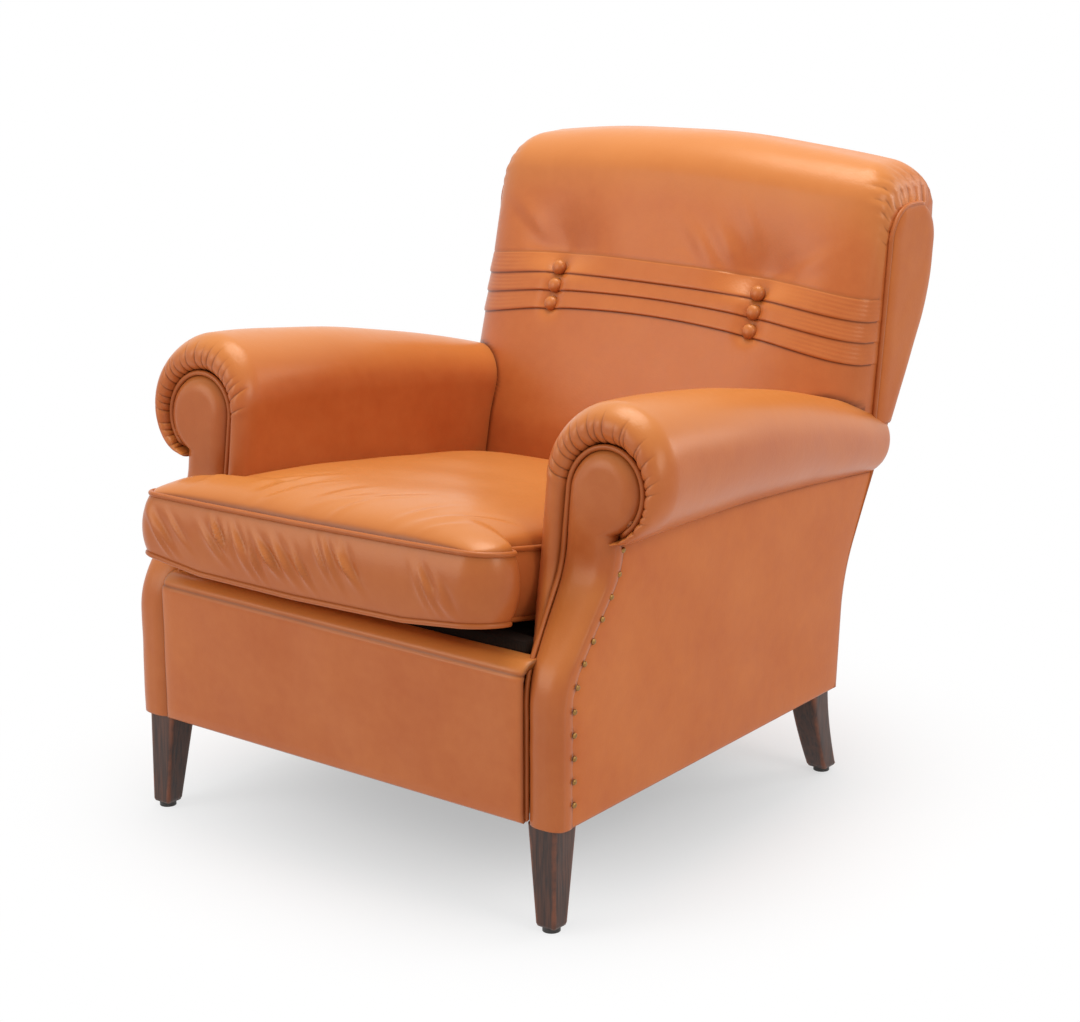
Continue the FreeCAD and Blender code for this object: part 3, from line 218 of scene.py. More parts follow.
def grid_mesh(name, grids, material, around=False, flip=False, **marks):
    """A piece over one or more grids of points [row, column, xyz]: each cell is a quad and, with around, the
    last column joins the first. Points that meet are merged, so rows that shrink to a point close as poles.
    Marks are numbers per grid point that the material reads; a mark of how far a point faces up, which
    the hide paints as a yellower top light, is added."""
    grids = [grids] if isinstance(grids, np.ndarray) else grids
    quads, count = [], 0
    for points in grids:
        rows, columns = points.shape[:2]
        index = np.arange(rows * columns).reshape(rows, columns) + count
        ahead = np.roll(index, -1, axis=1) if around else index[:, 1:]
        here = index if around else index[:, :-1]
        quads.append(np.stack([here[:-1], ahead[:-1], ahead[1:], here[1:]], axis=-1).reshape(-1, 4))
        count += rows * columns
    quads = np.concatenate(quads)
    quads = quads[:, ::-1] if flip else quads
    mesh = bpy.data.meshes.new(name)
    corners = np.concatenate([points.reshape(-1, 3) for points in grids])
    mesh.from_pydata(corners.tolist(), [], quads.tolist())
    for mark, values in marks.items():
        values = values if isinstance(values, list) else [values] * len(grids)
        spread = [np.broadcast_to(value, points.shape[:2]).ravel() for value, points in zip(values, grids)]
        layer = mesh.attributes.new(mark, "FLOAT", "POINT")
        layer.data.foreach_set("value", np.concatenate(spread).astype(np.float32))
    shape = bmesh.new()
    shape.from_mesh(mesh)
    bmesh.ops.remove_doubles(shape, verts=shape.verts, dist=meets_within)
    shape.to_mesh(mesh)
    shape.free()
    mesh.polygons.foreach_set("use_smooth", np.ones(len(mesh.polygons), bool))
    # How far each point faces up: the hide paints it as a top light, yellower on faces turned up.
    upright = np.zeros(len(mesh.vertices) * 3, np.float32)
    mesh.vertices.foreach_get("normal", upright)
    layer = mesh.attributes.new("top_light", "FLOAT", "POINT")
    layer.data.foreach_set("value", np.clip((upright[2::3] - top_light_slope) / (1 - top_light_slope), 0, 1))
    mesh.materials.append(material)
    made = bpy.data.objects.new(name, mesh)
    scene.collection.objects.link(made)
    return made


def settle(piece, body, slot, *nodes):
    """The piece moves with a body and stands for CAD nodes, which are hidden; slot is not used."""
    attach(piece, body)
    if nodes:
        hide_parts(*nodes)


leg_square, leg_ring, leg_rows, foot_chamfer = 9, 96, 40, 0.0025
leg_top, foot_level = 0.1217, 0.0062
worn_corner, worn_foot = (1.12, 0.18), (0.8, 0.2)


def tapered_leg(name, side, top_middle, top_half, foot_middle, foot_half, sweep):
    """A square leg: at each height a rounded square (|x|^p + |y|^p = 1) scaled to the half widths, which run
    straight from top to foot; its middle runs along the share raised to the power sweep. The first and last
    rows shrink to points, after a small chamfer."""
    turn = np.linspace(0, 2 * np.pi, leg_ring, endpoint=False)
    cos, sin = np.cos(turn), np.sin(turn)
    square = (np.abs(cos) ** leg_square + np.abs(sin) ** leg_square) ** (-1 / leg_square)
    share = np.concatenate([[0, 0], np.linspace(0, 1, leg_rows), [1, 1, 1]])[:, None]
    size = np.concatenate([[0, 0.97], np.ones(leg_rows - 1), [1, 0.93, 0.9, 0]])[:, None]
    chamfer = np.concatenate([np.zeros(leg_rows + 1), [foot_chamfer, 0, 0, 0]])[:, None]
    half_x, half_y = ((top + (foot - top) * share) * size for top, foot in zip(top_half, foot_half))
    middle_x = top_middle[0] + (foot_middle[0] - top_middle[0]) * share
    middle_y = top_middle[1] + (foot_middle[1] - top_middle[1]) * share**sweep
    x = middle_x + half_x * square * cos
    y = middle_y + half_y * square * sin
    z = np.broadcast_to(leg_top + (foot_level - leg_top) * share + chamfer, x.shape)
    corner = np.clip((square - worn_corner[0]) / worn_corner[1], 0, 1)
    low = 0.35 * np.clip((share - worn_foot[0]) / worn_foot[1], 0, 1)
    wear = np.clip(corner + low, 0, 1)
    return grid_mesh(name, np.stack([x * side, y, z], -1), stained, around=True, flip=side > 0, wear=wear)


# For each pair: the middle and half widths at the top, the same at the foot, and the power of its sweep.
leg_shapes = {
    "front": ((0.287, -0.352), (0.019, 0.021), (0.293, -0.361), (0.013, 0.012), 1.0),
    "rear": ((0.2677, 0.1917), (0.02, 0.017), (0.2707, 0.2237), (0.0135, 0.0135), 1.5),
}
for side, word in sides:
    for pair, leg_shape in leg_shapes.items():
        leg = tapered_leg(f"{pair}_leg_wood_{word}", side, *leg_shape)
        settle(leg, "chair", "dark_wood", f"{pair}_leg_{word}")


def speckled(name, size, detail, colours, gloss, **settings):
    """A hard finish that a fine noise mottles between two colours and two roughnesses."""
    material, tree = new_material(name)
    place = add(tree, "ShaderNodeTexCoord").outputs["Object"]
    noise = add(tree, "ShaderNodeTexNoise", {"Vector": place, "Scale": 1 / size, "Detail": detail})
    dark, pale = (linear(colour) for colour in colours)
    shade = add(tree, "ShaderNodeMix", {0: noise, 6: dark, 7: pale}, data_type="RGBA")
    rough = add(tree, "ShaderNodeMapRange", {"Value": noise, "To Min": gloss[0], "To Max": gloss[1]})
    shader = add(
        tree,
        "ShaderNodeBsdfPrincipled",
        {"Base Color": shade.outputs[2], "Roughness": rough, **settings},
    )
    add(tree, "ShaderNodeOutputMaterial", {"Surface": shader})
    return material


scratch_size = 0.002
nylon = speckled("moulded_nylon", scratch_size, 3.0, ("#1C1917", "#393330"), (0.5, 0.5), IOR=1.53)
steel = speckled("drawn_steel", scratch_size, 2.0, ("#8C8882", "#B6B3AE"), (0.28, 0.5), Metallic=1.0)
finish_node("leg_glides", nylon)
for node in ("leg_studs", "seat_springs"):
    finish_node(node, steel)

# Webbing, hessian and dust cover: jute straps tacked under the rails, coarse hessian over the springs and
# in the arms and back, and a black cambric sheet under the seat. All are plain woven.
# At scale 1 the bands of a wave texture lie this far apart.
wave_apart = 0.314


def woven(name, thread, dark, pale):
    """Plain-woven cloth: two sets of waves at a right angle, one thread apart, in two tones."""
    material, tree = new_material(name)
    place = add(tree, "ShaderNodeTexCoord").outputs["Object"]
    waves = []
    for turn in (0, math.pi / 2):
        turned = add(tree, "ShaderNodeMapping", {"Vector": place, "Rotation": (0, 0, turn)})
        wave = add(
            tree,
            "ShaderNodeTexWave",
            {"Vector": turned, "Scale": wave_apart / thread, "Distortion": 0.8, "Detail": 1.0},
        )
        waves.append(wave.outputs["Fac"])
    weave = add(tree, "ShaderNodeMath", {0: waves[0], 1: waves[1]}, operation="MULTIPLY")
    shade = add(tree, "ShaderNodeMix", {0: weave, 6: linear(dark), 7: linear(pale)}, data_type="RGBA")
    relief = add(tree, "ShaderNodeBump", {"Height": weave, "Strength": 0.5, "Distance": thread / 3})
    shader = add(
        tree,
        "ShaderNodeBsdfPrincipled",
        {
            "Base Color": shade.outputs[2],
            "Roughness": 0.9,
            "Specular IOR Level": 0.15,
            "Normal": relief,
        },
    )
    add(tree, "ShaderNodeOutputMaterial", {"Surface": shader})
    return material


jute = woven("jute_webbing", 0.003, "#6E5433", "#B0925F")
hessian = woven("jute_hessian", 0.0025, "#7A5F3B", "#BB9F6E")
cambric = woven("black_cambric", 0.0015, "#121212", "#2B2A29")
for node in ("seat_webbing", "back_webbing"):
    finish_node(node, jute)
for node in ("spring_hessian", "back_hessian", "arm_lining_left", "arm_lining_right"):
    finish_node(node, hessian)
finish_node("dust_cover", cambric)

# Seat deck: the stuffed platform under the cushion, covered in cotton drill whose brown is painted down to
# near black as shade, for its front edge shows in the shadow under the cushion; the rest is seen only when
# the cushion is lifted. Its edges fall away a little.
# Painted shade: the drill's two tones are near black so that the deck reads as the shadow under the cushion.
shade_drill = woven("cotton_drill_painted_dark", 0.002, "#170F0A", "#2E2015")
seat_front, seat_level, seat_rake = -0.41, 0.3247, math.radians(7)
deck_front, deck_rear = -0.3465, 0.1315
deck_half, ear_half, ear_rear = 0.2165, 0.247, -0.3195
deck_depth, deck_clear, deck_fall = 0.04, 0.0015, 0.004


def deck_plane(y):
    """Height of the raked seat plane that the cushion lies on."""
    return seat_level - (y - seat_front) * math.tan(seat_rake)


def thicken(piece, layer, thickness):
    """Gives a surface its thickness, inwards from the face that shows."""
    wall = piece.modifiers.new(layer, "SOLIDIFY")
    wall.thickness = thickness
    wall.offset = -1


across = np.linspace(-1, 1, 61)[None, :]
along = np.concatenate([np.linspace(deck_front, ear_rear, 10), np.linspace(ear_rear + 1e-4, deck_rear, 60)])
deck_x = across * np.where(along <= ear_rear, ear_half, deck_half)[:, None]
deck_y = np.broadcast_to(along[:, None], deck_x.shape)
middle = (along[:, None] - deck_front) / (deck_rear - deck_front)
edge_fall = deck_fall * (1 - (1 - across**8) * (1 - (2 * middle - 1) ** 8))
deck_z = deck_plane(deck_y) - deck_clear - edge_fall
deck = grid_mesh("seat_deck_cover", np.stack([deck_x, deck_y, deck_z], -1), shade_drill)
thicken(deck, "stuffing", deck_depth)
settle(deck, "chair", "deck_cloth", "seat_deck")

# Front apron: a padded leather border that closes the seat front and turns back over its edge, with a
# topstitched fold near the top. Its leather is drum-dyed tan hide, which all the covers are cut from.
# Smooth full-grain hide: a soft sheen, fine pebbles a millimetre across, drawn at two so that they show,
# cloudy dye, painted shade that darkens the creases and joins, a paler tone where it rubs and where a
# painted highlight falls on raised parts, and a painted top light that makes it yellower where it faces up.
pebble, cloud, mottle = 0.0022, 0.11, 0.016
cloud_share, mottle_share = 0.72, 0.28
smoother, rougher = 0.05, 0.07


def hide(name, shade_tone, tan, top_light_tint, pale, rough, shine=0.5):
    """Smooth upholstery hide: cloudy between two tans, yellower with painted top light where it faces up,
    paler with rub wear and painted highlight on raised parts, and darker with painted shade in creases and
    joins."""
    material, tree = new_material(name)
    spot = add(tree, "ShaderNodeTexCoord").outputs["Object"]
    cloudy = add(tree, "ShaderNodeTexNoise", {"Vector": spot, "Scale": 1 / cloud, "Detail": 3.0})
    speckle = add(tree, "ShaderNodeTexNoise", {"Vector": spot, "Scale": 1 / mottle, "Detail": 4.0})
    grain = add(tree, "ShaderNodeTexVoronoi", {"Vector": spot, "Scale": 1 / pebble}, feature="SMOOTH_F1")
    tones = add(tree, "ShaderNodeMath", {0: cloudy, 1: cloud_share}, operation="MULTIPLY")
    tones = add(tree, "ShaderNodeMath", {0: speckle, 1: mottle_share, 2: tones}, operation="MULTIPLY_ADD")
    toned = add(tree, "ShaderNodeMapRange", {"Value": tones, "From Min": 0.3, "From Max": 0.72})
    dyed = add(tree, "ShaderNodeMix", {0: toned, 6: linear(tan[0]), 7: linear(tan[1])}, data_type="RGBA")
    tone = dyed.outputs[2]
    # Painted light: a yellower top light on up-facing points, a paler tone that is partly rub wear and
    # partly painted highlight, and painted shade in creases.
    for mark, colour in (("top_light", top_light_tint), ("wear", pale), ("crease", shade_tone)):
        amount = add(tree, "ShaderNodeAttribute", attribute_name=mark).outputs["Fac"]
        tinted = add(tree, "ShaderNodeMix", {0: amount, 6: tone, 7: linear(colour)}, data_type="RGBA")
        tone = tinted.outputs[2]
    gloss = add(
        tree,
        "ShaderNodeMapRange",
        {"Value": speckle, "To Min": rough - smoother, "To Max": rough + rougher},
    )
    relief = add(tree, "ShaderNodeBump", {"Height": grain, "Strength": 0.12, "Distance": 0.0006})
    relief = add(
        tree,
        "ShaderNodeBump",
        {"Height": speckle, "Strength": 0.1, "Distance": 0.002, "Normal": relief},
    )
    shader = add(
        tree,
        "ShaderNodeBsdfPrincipled",
        {
            "Base Color": tone,
            "Roughness": gloss,
            "IOR": 1.45,
            "Specular IOR Level": shine,
            "Specular Tint": linear("#FFE6CC"),
            "Normal": relief,
        },
    )
    add(tree, "ShaderNodeOutputMaterial", {"Surface": shader})
    return material


tan_hide = hide("tan_hide", "#5E260C", ("#B55D2D", "#C26D39"), "#CA7A38", "#D08846", 0.3)


def normals_of(points):
    """Unit normals of a grid surface: the cross product of its steps along the columns and the rows."""
    down = np.gradient(points, axis=0)
    across = np.gradient(points, axis=1)
    cross = np.cross(across, down)
    return cross / np.maximum(np.linalg.norm(cross, axis=-1, keepdims=True), 1e-12)


def ripple(points, size, seed):
    """Gentle unevenness: the mean of 9 plane waves in seeded directions, with wavelengths near a size."""
    dice = np.random.default_rng(seed)
    ways = dice.normal(size=(9, 3))
    ways /= np.linalg.norm(ways, axis=1, keepdims=True)
    ways *= 2 * np.pi / (size * dice.uniform(0.7, 1.5, (9, 1)))
    return np.sin(points @ ways.T + dice.uniform(0, 2 * np.pi, 9)).mean(axis=-1)


def line_mark(distance, width):
    """A bell over the distance from a line: 1 on it and about 0 two widths away."""
    return np.exp(-((distance / width) ** 2))


def pillow(distance, width):
    """A quarter circle over the distance from an edge: 0 on it and 1 from a width away."""
    near = np.clip(distance / width, 0, 1)
    return np.sqrt(np.clip(1 - (1 - near) ** 2, 0, 1))


apron_front, apron_low, apron_top, apron_half = -0.383, 0.122, 0.3, 0.2692
apron_round, apron_back, apron_thick = 0.022, -0.348, 0.012
apron_swell, apron_wave, apron_end = 0.004, 0.0012, 0.02
fold_height, fold_width, fold_deep, fold_reach = 0.287, 0.0016, 0.0016, 0.012
rub_highlight_height, rub_highlight_width = 0.296, 0.006
front_rows, lip_rows = 90, 9
turn = np.linspace(0, np.pi / 2, 16)[1:]
apron_y = np.concatenate(
    [
        np.full(front_rows, apron_front),
        apron_front + apron_round * (1 - np.cos(turn)),
        np.linspace(apron_front + apron_round, apron_back, lip_rows + 1)[1:],
    ]
)
apron_z = np.concatenate(
    [
        np.linspace(apron_low, apron_top - apron_round, front_rows),
        apron_top - apron_round + apron_round * np.sin(turn),
        np.full(lip_rows, apron_top),
    ]
)
apron_x = np.linspace(-1, 1, 181)[None, :] * apron_half
grid_x, grid_y, grid_z = np.broadcast_arrays(apron_x, apron_y[:, None], apron_z[:, None])
from_end = apron_half - np.abs(grid_x)
rise = (grid_z - apron_low) / (apron_top - apron_low)
swell = apron_swell * np.sqrt(np.clip(14 * rise, 0, 1)) * pillow(from_end, apron_end)
fold = line_mark(grid_z - fold_height, fold_width) * (grid_y < apron_front + fold_reach)
apron = np.stack([grid_x, grid_y + apron_swell - swell, grid_z], -1)
lift = apron_wave * ripple(apron, 0.09, 3) * np.clip(4 * rise, 0, 1) - fold_deep * fold
apron_piece = grid_mesh(
    "apron_cover",
    apron + normals_of(apron) * lift[..., None],
    tan_hide,
    # Painted shade darkens the topstitched fold and the ends by the facings; the paler band along the top
    # edge is partly rub wear and partly painted highlight.
    crease=np.clip(0.6 * fold + 0.6 * line_mark(from_end / apron_end, 0.12), 0, 1),
    wear=0.25 * line_mark(grid_z - rub_highlight_height, rub_highlight_width),
)
thicken(apron_piece, "stuffing", apron_thick)
settle(apron_piece, "chair", "tan_leather", "front_apron")

# Arms: horsehair-stuffed rolls with the inside arm in one, covered by one hide. At the front the hide is
# gathered in pleats round the scroll-headed post and tacked under the facing; the roll thins and falls
# towards the back.
arm_left, arm_top, arm_round = 0.217, 0.565, 0.082
arm_fall, arm_rear_round = 0.117, 0.047
arm_start, arm_end = -0.3192, 0.316
arm_low, arm_inside = 0.236, 0.256
arm_side, arm_closing, arm_run = 0.316, 0.016, 0.577
seam_front, seam_fall, seam_tuck = 0.416, 0.042, 0.0003
round_power, fall_power, seam_power = 1.25, 1.78, 1.8
scroll_x, scroll_z, scroll_round = 0.299, 0.469, 0.046
cord = 0.005
neck, neck_y, scroll_lean = 0.384, -0.299, 0.1326
nose_depth, nose_turn, nose_share = 0.03, math.radians(150), 0.6
nose_rows, body_rows = 44, 70
rear_guess, rear_gap = 0.29, 0.014
hem_inside, hem_back, hidden_back, throat_back = 0.262, 0.007, 0.012, 0.09
pleats, pleat_first, pleat_last = 25, math.radians(182), math.radians(-58)
pleat_deep, pleat_width, pleat_line = 0.0019, 0.0021, 0.0008
gather_from, gather_to, gather_edge, gather_full = math.radians(-64), math.radians(192), 0.25, 0.0012
arm_wave, arm_wave_size = 0.0012, 0.1
plug_size, plug_back = np.array([0.975, 0.93, 0.6, 0.0]), np.array([0.003, 0.0045, 0.0045, 0.0045])
facing_foot, facing_start, facing_outer, knee = -0.373, 0.11, 0.3157, 0.278
neck_front, top_front, knee_round, neck_round = -0.289, -0.265, 0.09, 0.08
inner_foot, waist, waist_rise = 0.27, 0.017, 0.17
wall_columns, roll_columns, under_columns, hidden_columns = 40, 300, 90, 12
arm_columns = wall_columns + roll_columns + under_columns + hidden_columns
wall = np.linspace(0, 1, wall_columns, endpoint=False)
roll = np.pi * (1 - np.linspace(0, 1, roll_columns, endpoint=False))
under = np.linspace(0, 1, under_columns)
hidden = np.linspace(0.1, 1, hidden_columns // 2)


def smooth(share):
    """A smooth step from 0 to 1."""
    share = np.clip(share, 0, 1)
    return share * share * (3 - 2 * share)


def rounded_path(corners, radii, steps=14):
    """A path through corners [corner, ..., xy]: straight runs, and at each inner corner the circular arc of
    its radius that touches both runs, drawn as a rational curve over the corner."""
    corners = np.asarray(corners, float)
    share = np.linspace(0, 1, steps, endpoint=False).reshape((-1,) + (1,) * (corners.ndim - 1))
    start, parts = corners[0], []
    for before, at, after, radius in zip(corners, corners[1:], corners[2:], radii):
        into = (before - at) / np.linalg.norm(before - at, axis=-1, keepdims=True)
        out = (after - at) / np.linalg.norm(after - at, axis=-1, keepdims=True)
        half = np.arccos(np.clip((into * out).sum(-1, keepdims=True), -1, 1)) / 2
        reach = np.asarray(radius)[..., None] / np.tan(half)
        first, last = at + into * reach, at + out * reach
        parts.append(start + (first - start) * share)
        weight = [(1 - share) ** 2, 2 * share * (1 - share) * np.sin(half), share**2]
        parts.append((weight[0] * first + weight[1] * at + weight[2] * last) / sum(weight))
        start = last
    parts.append(start + (corners[-1] - start) * np.append(share, np.ones_like(share[:1]), axis=0))
    return np.concatenate(parts)


facing_bend = rounded_path(
    [(facing_foot, facing_start), (facing_foot, knee), (neck_front, neck), (top_front, arm_top)],
    [knee_round, neck_round],
)
back_bend = rounded_path([(0.204, 0.1), (0.215, 0.262), (0.397, 0.585), (0.41, 0.72)], [0.2, 0.2])


def facing_y(z):
    """Depth of the arm's front at a height: an S-curve that leans back above the knee and again, less, above
    the neck."""
    return np.interp(z, facing_bend[:, 1], facing_bend[:, 0])


def facing_inner(z):
    """Inner edge of the facing at a height: it narrows from the foot to the neck along a smooth step."""
    return inner_foot - waist * smooth((z - arm_low) / waist_rise)


def panel_face(y):
    """Where the outside arm's face stands at a depth: it closes in towards the rear."""
    return arm_side - arm_closing * (y - facing_foot) / arm_run


def back_y(z):
    """Depth of the outside back at a height: upright at the foot, raked, and upright again at the top."""
    return np.interp(z, back_bend[:, 1], back_bend[:, 0])


def arm_share(y):
    """Share of the arm's length at a depth."""
    return np.clip((y - arm_start) / (arm_end - arm_start), 0, 1)


def arm_section(y):
    """Section of the arm at depths y [row, column]: the columns run up the upright inside arm, over a half
    circle, along an arc that touches it and turns under to the seam, and back inside. The circle shrinks,
    its top falls and the seam falls with powers of the share of the length. Returns x and z."""
    share = arm_share(y)
    radius = arm_round + (arm_rear_round - arm_round) * share**round_power
    middle_z = arm_top - arm_fall * share**fall_power - radius
    outer = arm_left + 2 * radius
    seam_x = panel_face(y) - seam_tuck
    seam_z = seam_front - seam_fall * share**seam_power
    bend = ((outer - seam_x) ** 2 + (middle_z - seam_z) ** 2) / (2 * (outer - seam_x))
    swing = np.arctan2(middle_z - seam_z, seam_x - (outer - bend))
    cuts = np.cumsum([wall_columns, roll_columns, under_columns, hidden_columns // 2])
    measures = (radius, middle_z, outer, seam_x, seam_z, bend, swing)
    parts = [np.split(values, cuts, axis=1) for values in measures]
    radius, middle_z, outer, seam_x, seam_z, bend, swing = parts
    x = [
        np.full_like(radius[0], arm_left),
        arm_left + radius[1] + radius[1] * np.cos(roll),
        outer[2] - bend[2] + bend[2] * np.cos(swing[2] * under),
        seam_x[3] + (arm_inside - seam_x[3]) * hidden,
        np.full_like(radius[4], arm_inside),
    ]
    z = [
        arm_low + (middle_z[0] - arm_low) * wall,
        middle_z[1] + radius[1] * np.sin(roll),
        middle_z[2] - bend[2] * np.sin(swing[2] * under),
        seam_z[3],
        seam_z[4] + (arm_low - seam_z[4]) * hidden,
    ]
    return np.concatenate(x, axis=1), np.concatenate(z, axis=1)


def arm_cover(side, word, seed):
    """An arm. Behind the nose it is sections along the arm. The nose is a curve, from each point of the
    front section to the matching point of the facing's outline, that bulges forward with the sine of its
    turn and tucks back behind the piping. Pleats are creases along these curves, at seeded angles
    round the scroll: each is a sharp valley, exp(-distance / width), that fades out on the roll."""
    dice = np.random.default_rng(seed)
    shown = (np.arange(arm_columns) < arm_columns - hidden_columns).astype(float)
    start = np.full((1, arm_columns), arm_start + nose_depth)
    stop = np.full((1, arm_columns), rear_guess)
    for _ in range(4):
        start = neck_y + scroll_lean * (arm_section(start)[1] - neck) + nose_depth
        stop = back_y(arm_section(stop)[1]) - rear_gap
    share = np.linspace(0, 1, body_rows)[:, None] ** 1.1
    body_y = start + (stop - start) * share
    body_x, body_z = arm_section(body_y)
    hem = scroll_round + cord
    throat = -math.acos((facing_outer - scroll_x) / hem)
    throat_x, throat_z = scroll_x + hem * math.cos(throat), scroll_z + hem * math.sin(throat)
    ring = np.concatenate([roll, throat * under])
    wall_z = arm_low + (scroll_z - arm_low) * wall
    hem_x = [facing_inner(wall_z) - cord, scroll_x + hem * np.cos(ring)]
    hem_z = [wall_z, scroll_z + hem * np.sin(ring)]
    hem_x += [throat_x + (hem_inside - throat_x) * hidden, np.full_like(hidden, hem_inside)]
    hem_z += [np.full_like(hidden, throat_z), throat_z + (arm_low - throat_z) * hidden]
    hem_x, hem_z = np.concatenate(hem_x), np.concatenate(hem_z)
    turn = np.linspace(nose_turn, 0, nose_rows, endpoint=False)[:, None]
    inward = nose_share * (1 - np.cos(turn))
    tucked = nose_share + (1 - nose_share) * np.cos(turn) / math.cos(nose_turn)
    move = np.where(turn < np.pi / 2, inward, tucked)
    nose_x = body_x[:1] + (hem_x - body_x[:1]) * move
    nose_z = body_z[:1] + (hem_z - body_z[:1]) * move
    bulge = neck_y + scroll_lean * (nose_z - neck) + nose_depth * (1 - np.sin(turn))
    hem_y = neck_y + scroll_lean * (hem_z - neck) + nose_depth * (1 - math.sin(nose_turn))
    nose_y = bulge + (facing_y(hem_z) + hem_back - hem_y) * move**2
    nose_y = shown * nose_y + (1 - shown) * (body_y[:1] + hidden_back * move)
    nose, body = np.stack([nose_x, nose_y, nose_z], -1), np.stack([body_x, body_y, body_z], -1)
    skin = np.concatenate([nose, body])
    angle = np.concatenate([np.pi + (scroll_z - wall_z) / hem, ring, np.full(hidden_columns, -9.0)])
    depth = np.concatenate([turn / nose_turn, 0 * share])
    radius = np.concatenate([arm_round + (hem - arm_round) * move, arm_round + 0 * share])
    valley, dark = np.zeros(skin.shape[:2]), np.zeros(skin.shape[:2])
    spots = np.linspace(pleat_first, pleat_last, pleats)
    spots = spots + dice.uniform(-0.3, 0.3, pleats) * (spots[0] - spots[1])
    for number, spot in enumerate(spots):
        lean = dice.uniform(-0.08, 0.08)
        length = dice.uniform(0.3, 0.5) + 0.25 * number / pleats
        fade = smooth((depth - length + 0.2) / 0.4)
        away = (angle - spot - lean * (1 - depth)) * radius
        valley += dice.uniform(0.7, 1.2) * fade * np.exp(-np.abs(away) / pleat_width)
        dark += fade * line_mark(away, pleat_line)
    gathered = smooth((angle - gather_from) / gather_edge) * smooth((gather_to - angle) / gather_edge)
    lift = gather_full * smooth((depth - 0.2) / 0.3) * gathered - pleat_deep * valley
    lift = (lift + arm_wave * ripple(skin, arm_wave_size, seed + 1)) * shown
    skin = skin + normals_of(skin) * lift[..., None]
    seam_side = np.concatenate([np.ones(wall_columns + roll_columns), 1 - under, np.ones(hidden_columns)])
    # Painted shade: dark lines along the pleats, along the seam under the roll and round the nose behind the
    # piping.
    crease = 0.65 * np.clip(dark, 0, 1) + 0.5 * line_mark(seam_side, 0.03) + 0.5 * line_mark(1 - depth, 0.1)
    crease = np.clip(crease, 0, 1) * shown
    # A paler top of the roll behind the nose: partly rub wear and partly painted highlight.
    upper = np.clip(np.sin(np.clip(angle, 0, np.pi)), 0, 1)
    wear = 0.3 * upper**3 * smooth(1 - np.abs(depth - 0.2) / 0.4)
    rear = skin[-1:]
    heart = rear.mean(axis=1, keepdims=True)
    plug = heart + (rear - heart) * plug_size[:, None, None]
    plug[..., 1] = rear[..., 1] + plug_back[:, None]
    plug[-1] = plug[-1].mean(axis=0)
    throat_plug = skin[:1].mean(axis=1, keepdims=True) + 0 * skin[:1]
    throat_plug[..., 1] = neck_y + throat_back
    unmarked = ((1, len(plug_size)), (0, 0))
    made = grid_mesh(
        f"arm_cover_{word}",
        np.concatenate([throat_plug, skin, plug]) * np.array([side, 1, 1]),
        tan_hide,
        around=True,
        flip=side < 0,
        crease=np.pad(crease, unmarked),
        wear=np.pad(wear, unmarked),
    )
    settle(made, "chair", "tan_leather", f"arm_pad_{word}")


for side, word in sides:
    arm_cover(side, word, 20 + side)

# Arm facings: scroll-headed boards, padded and covered in hide, bent along the arm's front; their outer edge
# wraps round to the outside arm. A piping cord runs round the scroll and brass nails hold the outside arm.
facing_low, facing_rise, facing_back, facing_depth = 0.1205, 0.011, 0.006, 0.009
edge_width, edge_line, side_wrap, wrap_full = 0.02, 0.0022, 0.0135, 0.0012
post_level, post_fade, head_level, head_full = 0.424, 0.02, 0.38, 0.35
face_wave, face_wave_size = 0.0007, 0.05
throat_z = scroll_z - math.sqrt(scroll_round**2 - (facing_outer - scroll_x) ** 2)
arc = np.linspace(0, np.pi / 2, 40)
shaft = np.linspace(facing_low, scroll_z, 170)[:-1]
level = np.concatenate([shaft, scroll_z + scroll_round * np.sin(arc)])[:, None]
head = np.sqrt(np.clip(scroll_round**2 - (level - scroll_z) ** 2, 0, None))
inner = np.where(level > scroll_z, scroll_x - head, facing_inner(level))
outer = np.where(level > throat_z, scroll_x + head, facing_outer)
over = 0.5 - 0.5 * np.cos(np.pi * np.linspace(0, 1, 60)[None, :])
face_x = inner + (outer - inner) * over
from_edge = np.minimum(face_x - inner, outer - face_x)
from_round = scroll_round - np.hypot(face_x - scroll_x, level - scroll_z)
from_edge = np.where(level > scroll_z, np.minimum(from_edge, from_round), from_edge)
head_puff = 1 + head_full * smooth((level - head_level) / 0.08)
face_y = facing_y(level) + facing_back - facing_rise * pillow(from_edge, edge_width) * head_puff
face = np.stack([face_x, face_y, np.broadcast_to(level, face_x.shape)], -1)
# Painted shade: the whole facing a little darker, with dark lines by the piping round its inner edge and
# scroll.
face_crease = 0.1 + 0.6 * line_mark(np.where(level > throat_z, from_edge, face_x - inner), edge_line)
wrap = np.linspace(0, 1, 9)[None, 1:]
wrapped = smooth((post_level - level) / post_fade)
wrap_y = face_y[:, -1:] + side_wrap * wrapped * wrap
wrap_x = outer + wrap_full * np.sin(np.pi * wrap) * wrapped
wrap_z = np.broadcast_to(level, wrap_x.shape)
face = np.concatenate([face, np.stack([wrap_x, wrap_y, wrap_z], -1)], axis=1)
# Painted shade deepens where the facing wraps round to the outside arm.
face_crease = np.concatenate([face_crease, np.broadcast_to(0.7 * wrap**8, wrap_x.shape)], axis=1)
face = face + normals_of(face) * (face_wave * ripple(face, face_wave_size, 8))[..., None]


def run_along(path):
    """The length along a path, or along each of several side by side, from its start to every point."""
    steps = np.linalg.norm(np.diff(path, axis=0), axis=-1)
    return np.concatenate([np.zeros_like(steps[:1]), np.cumsum(steps, axis=0)])


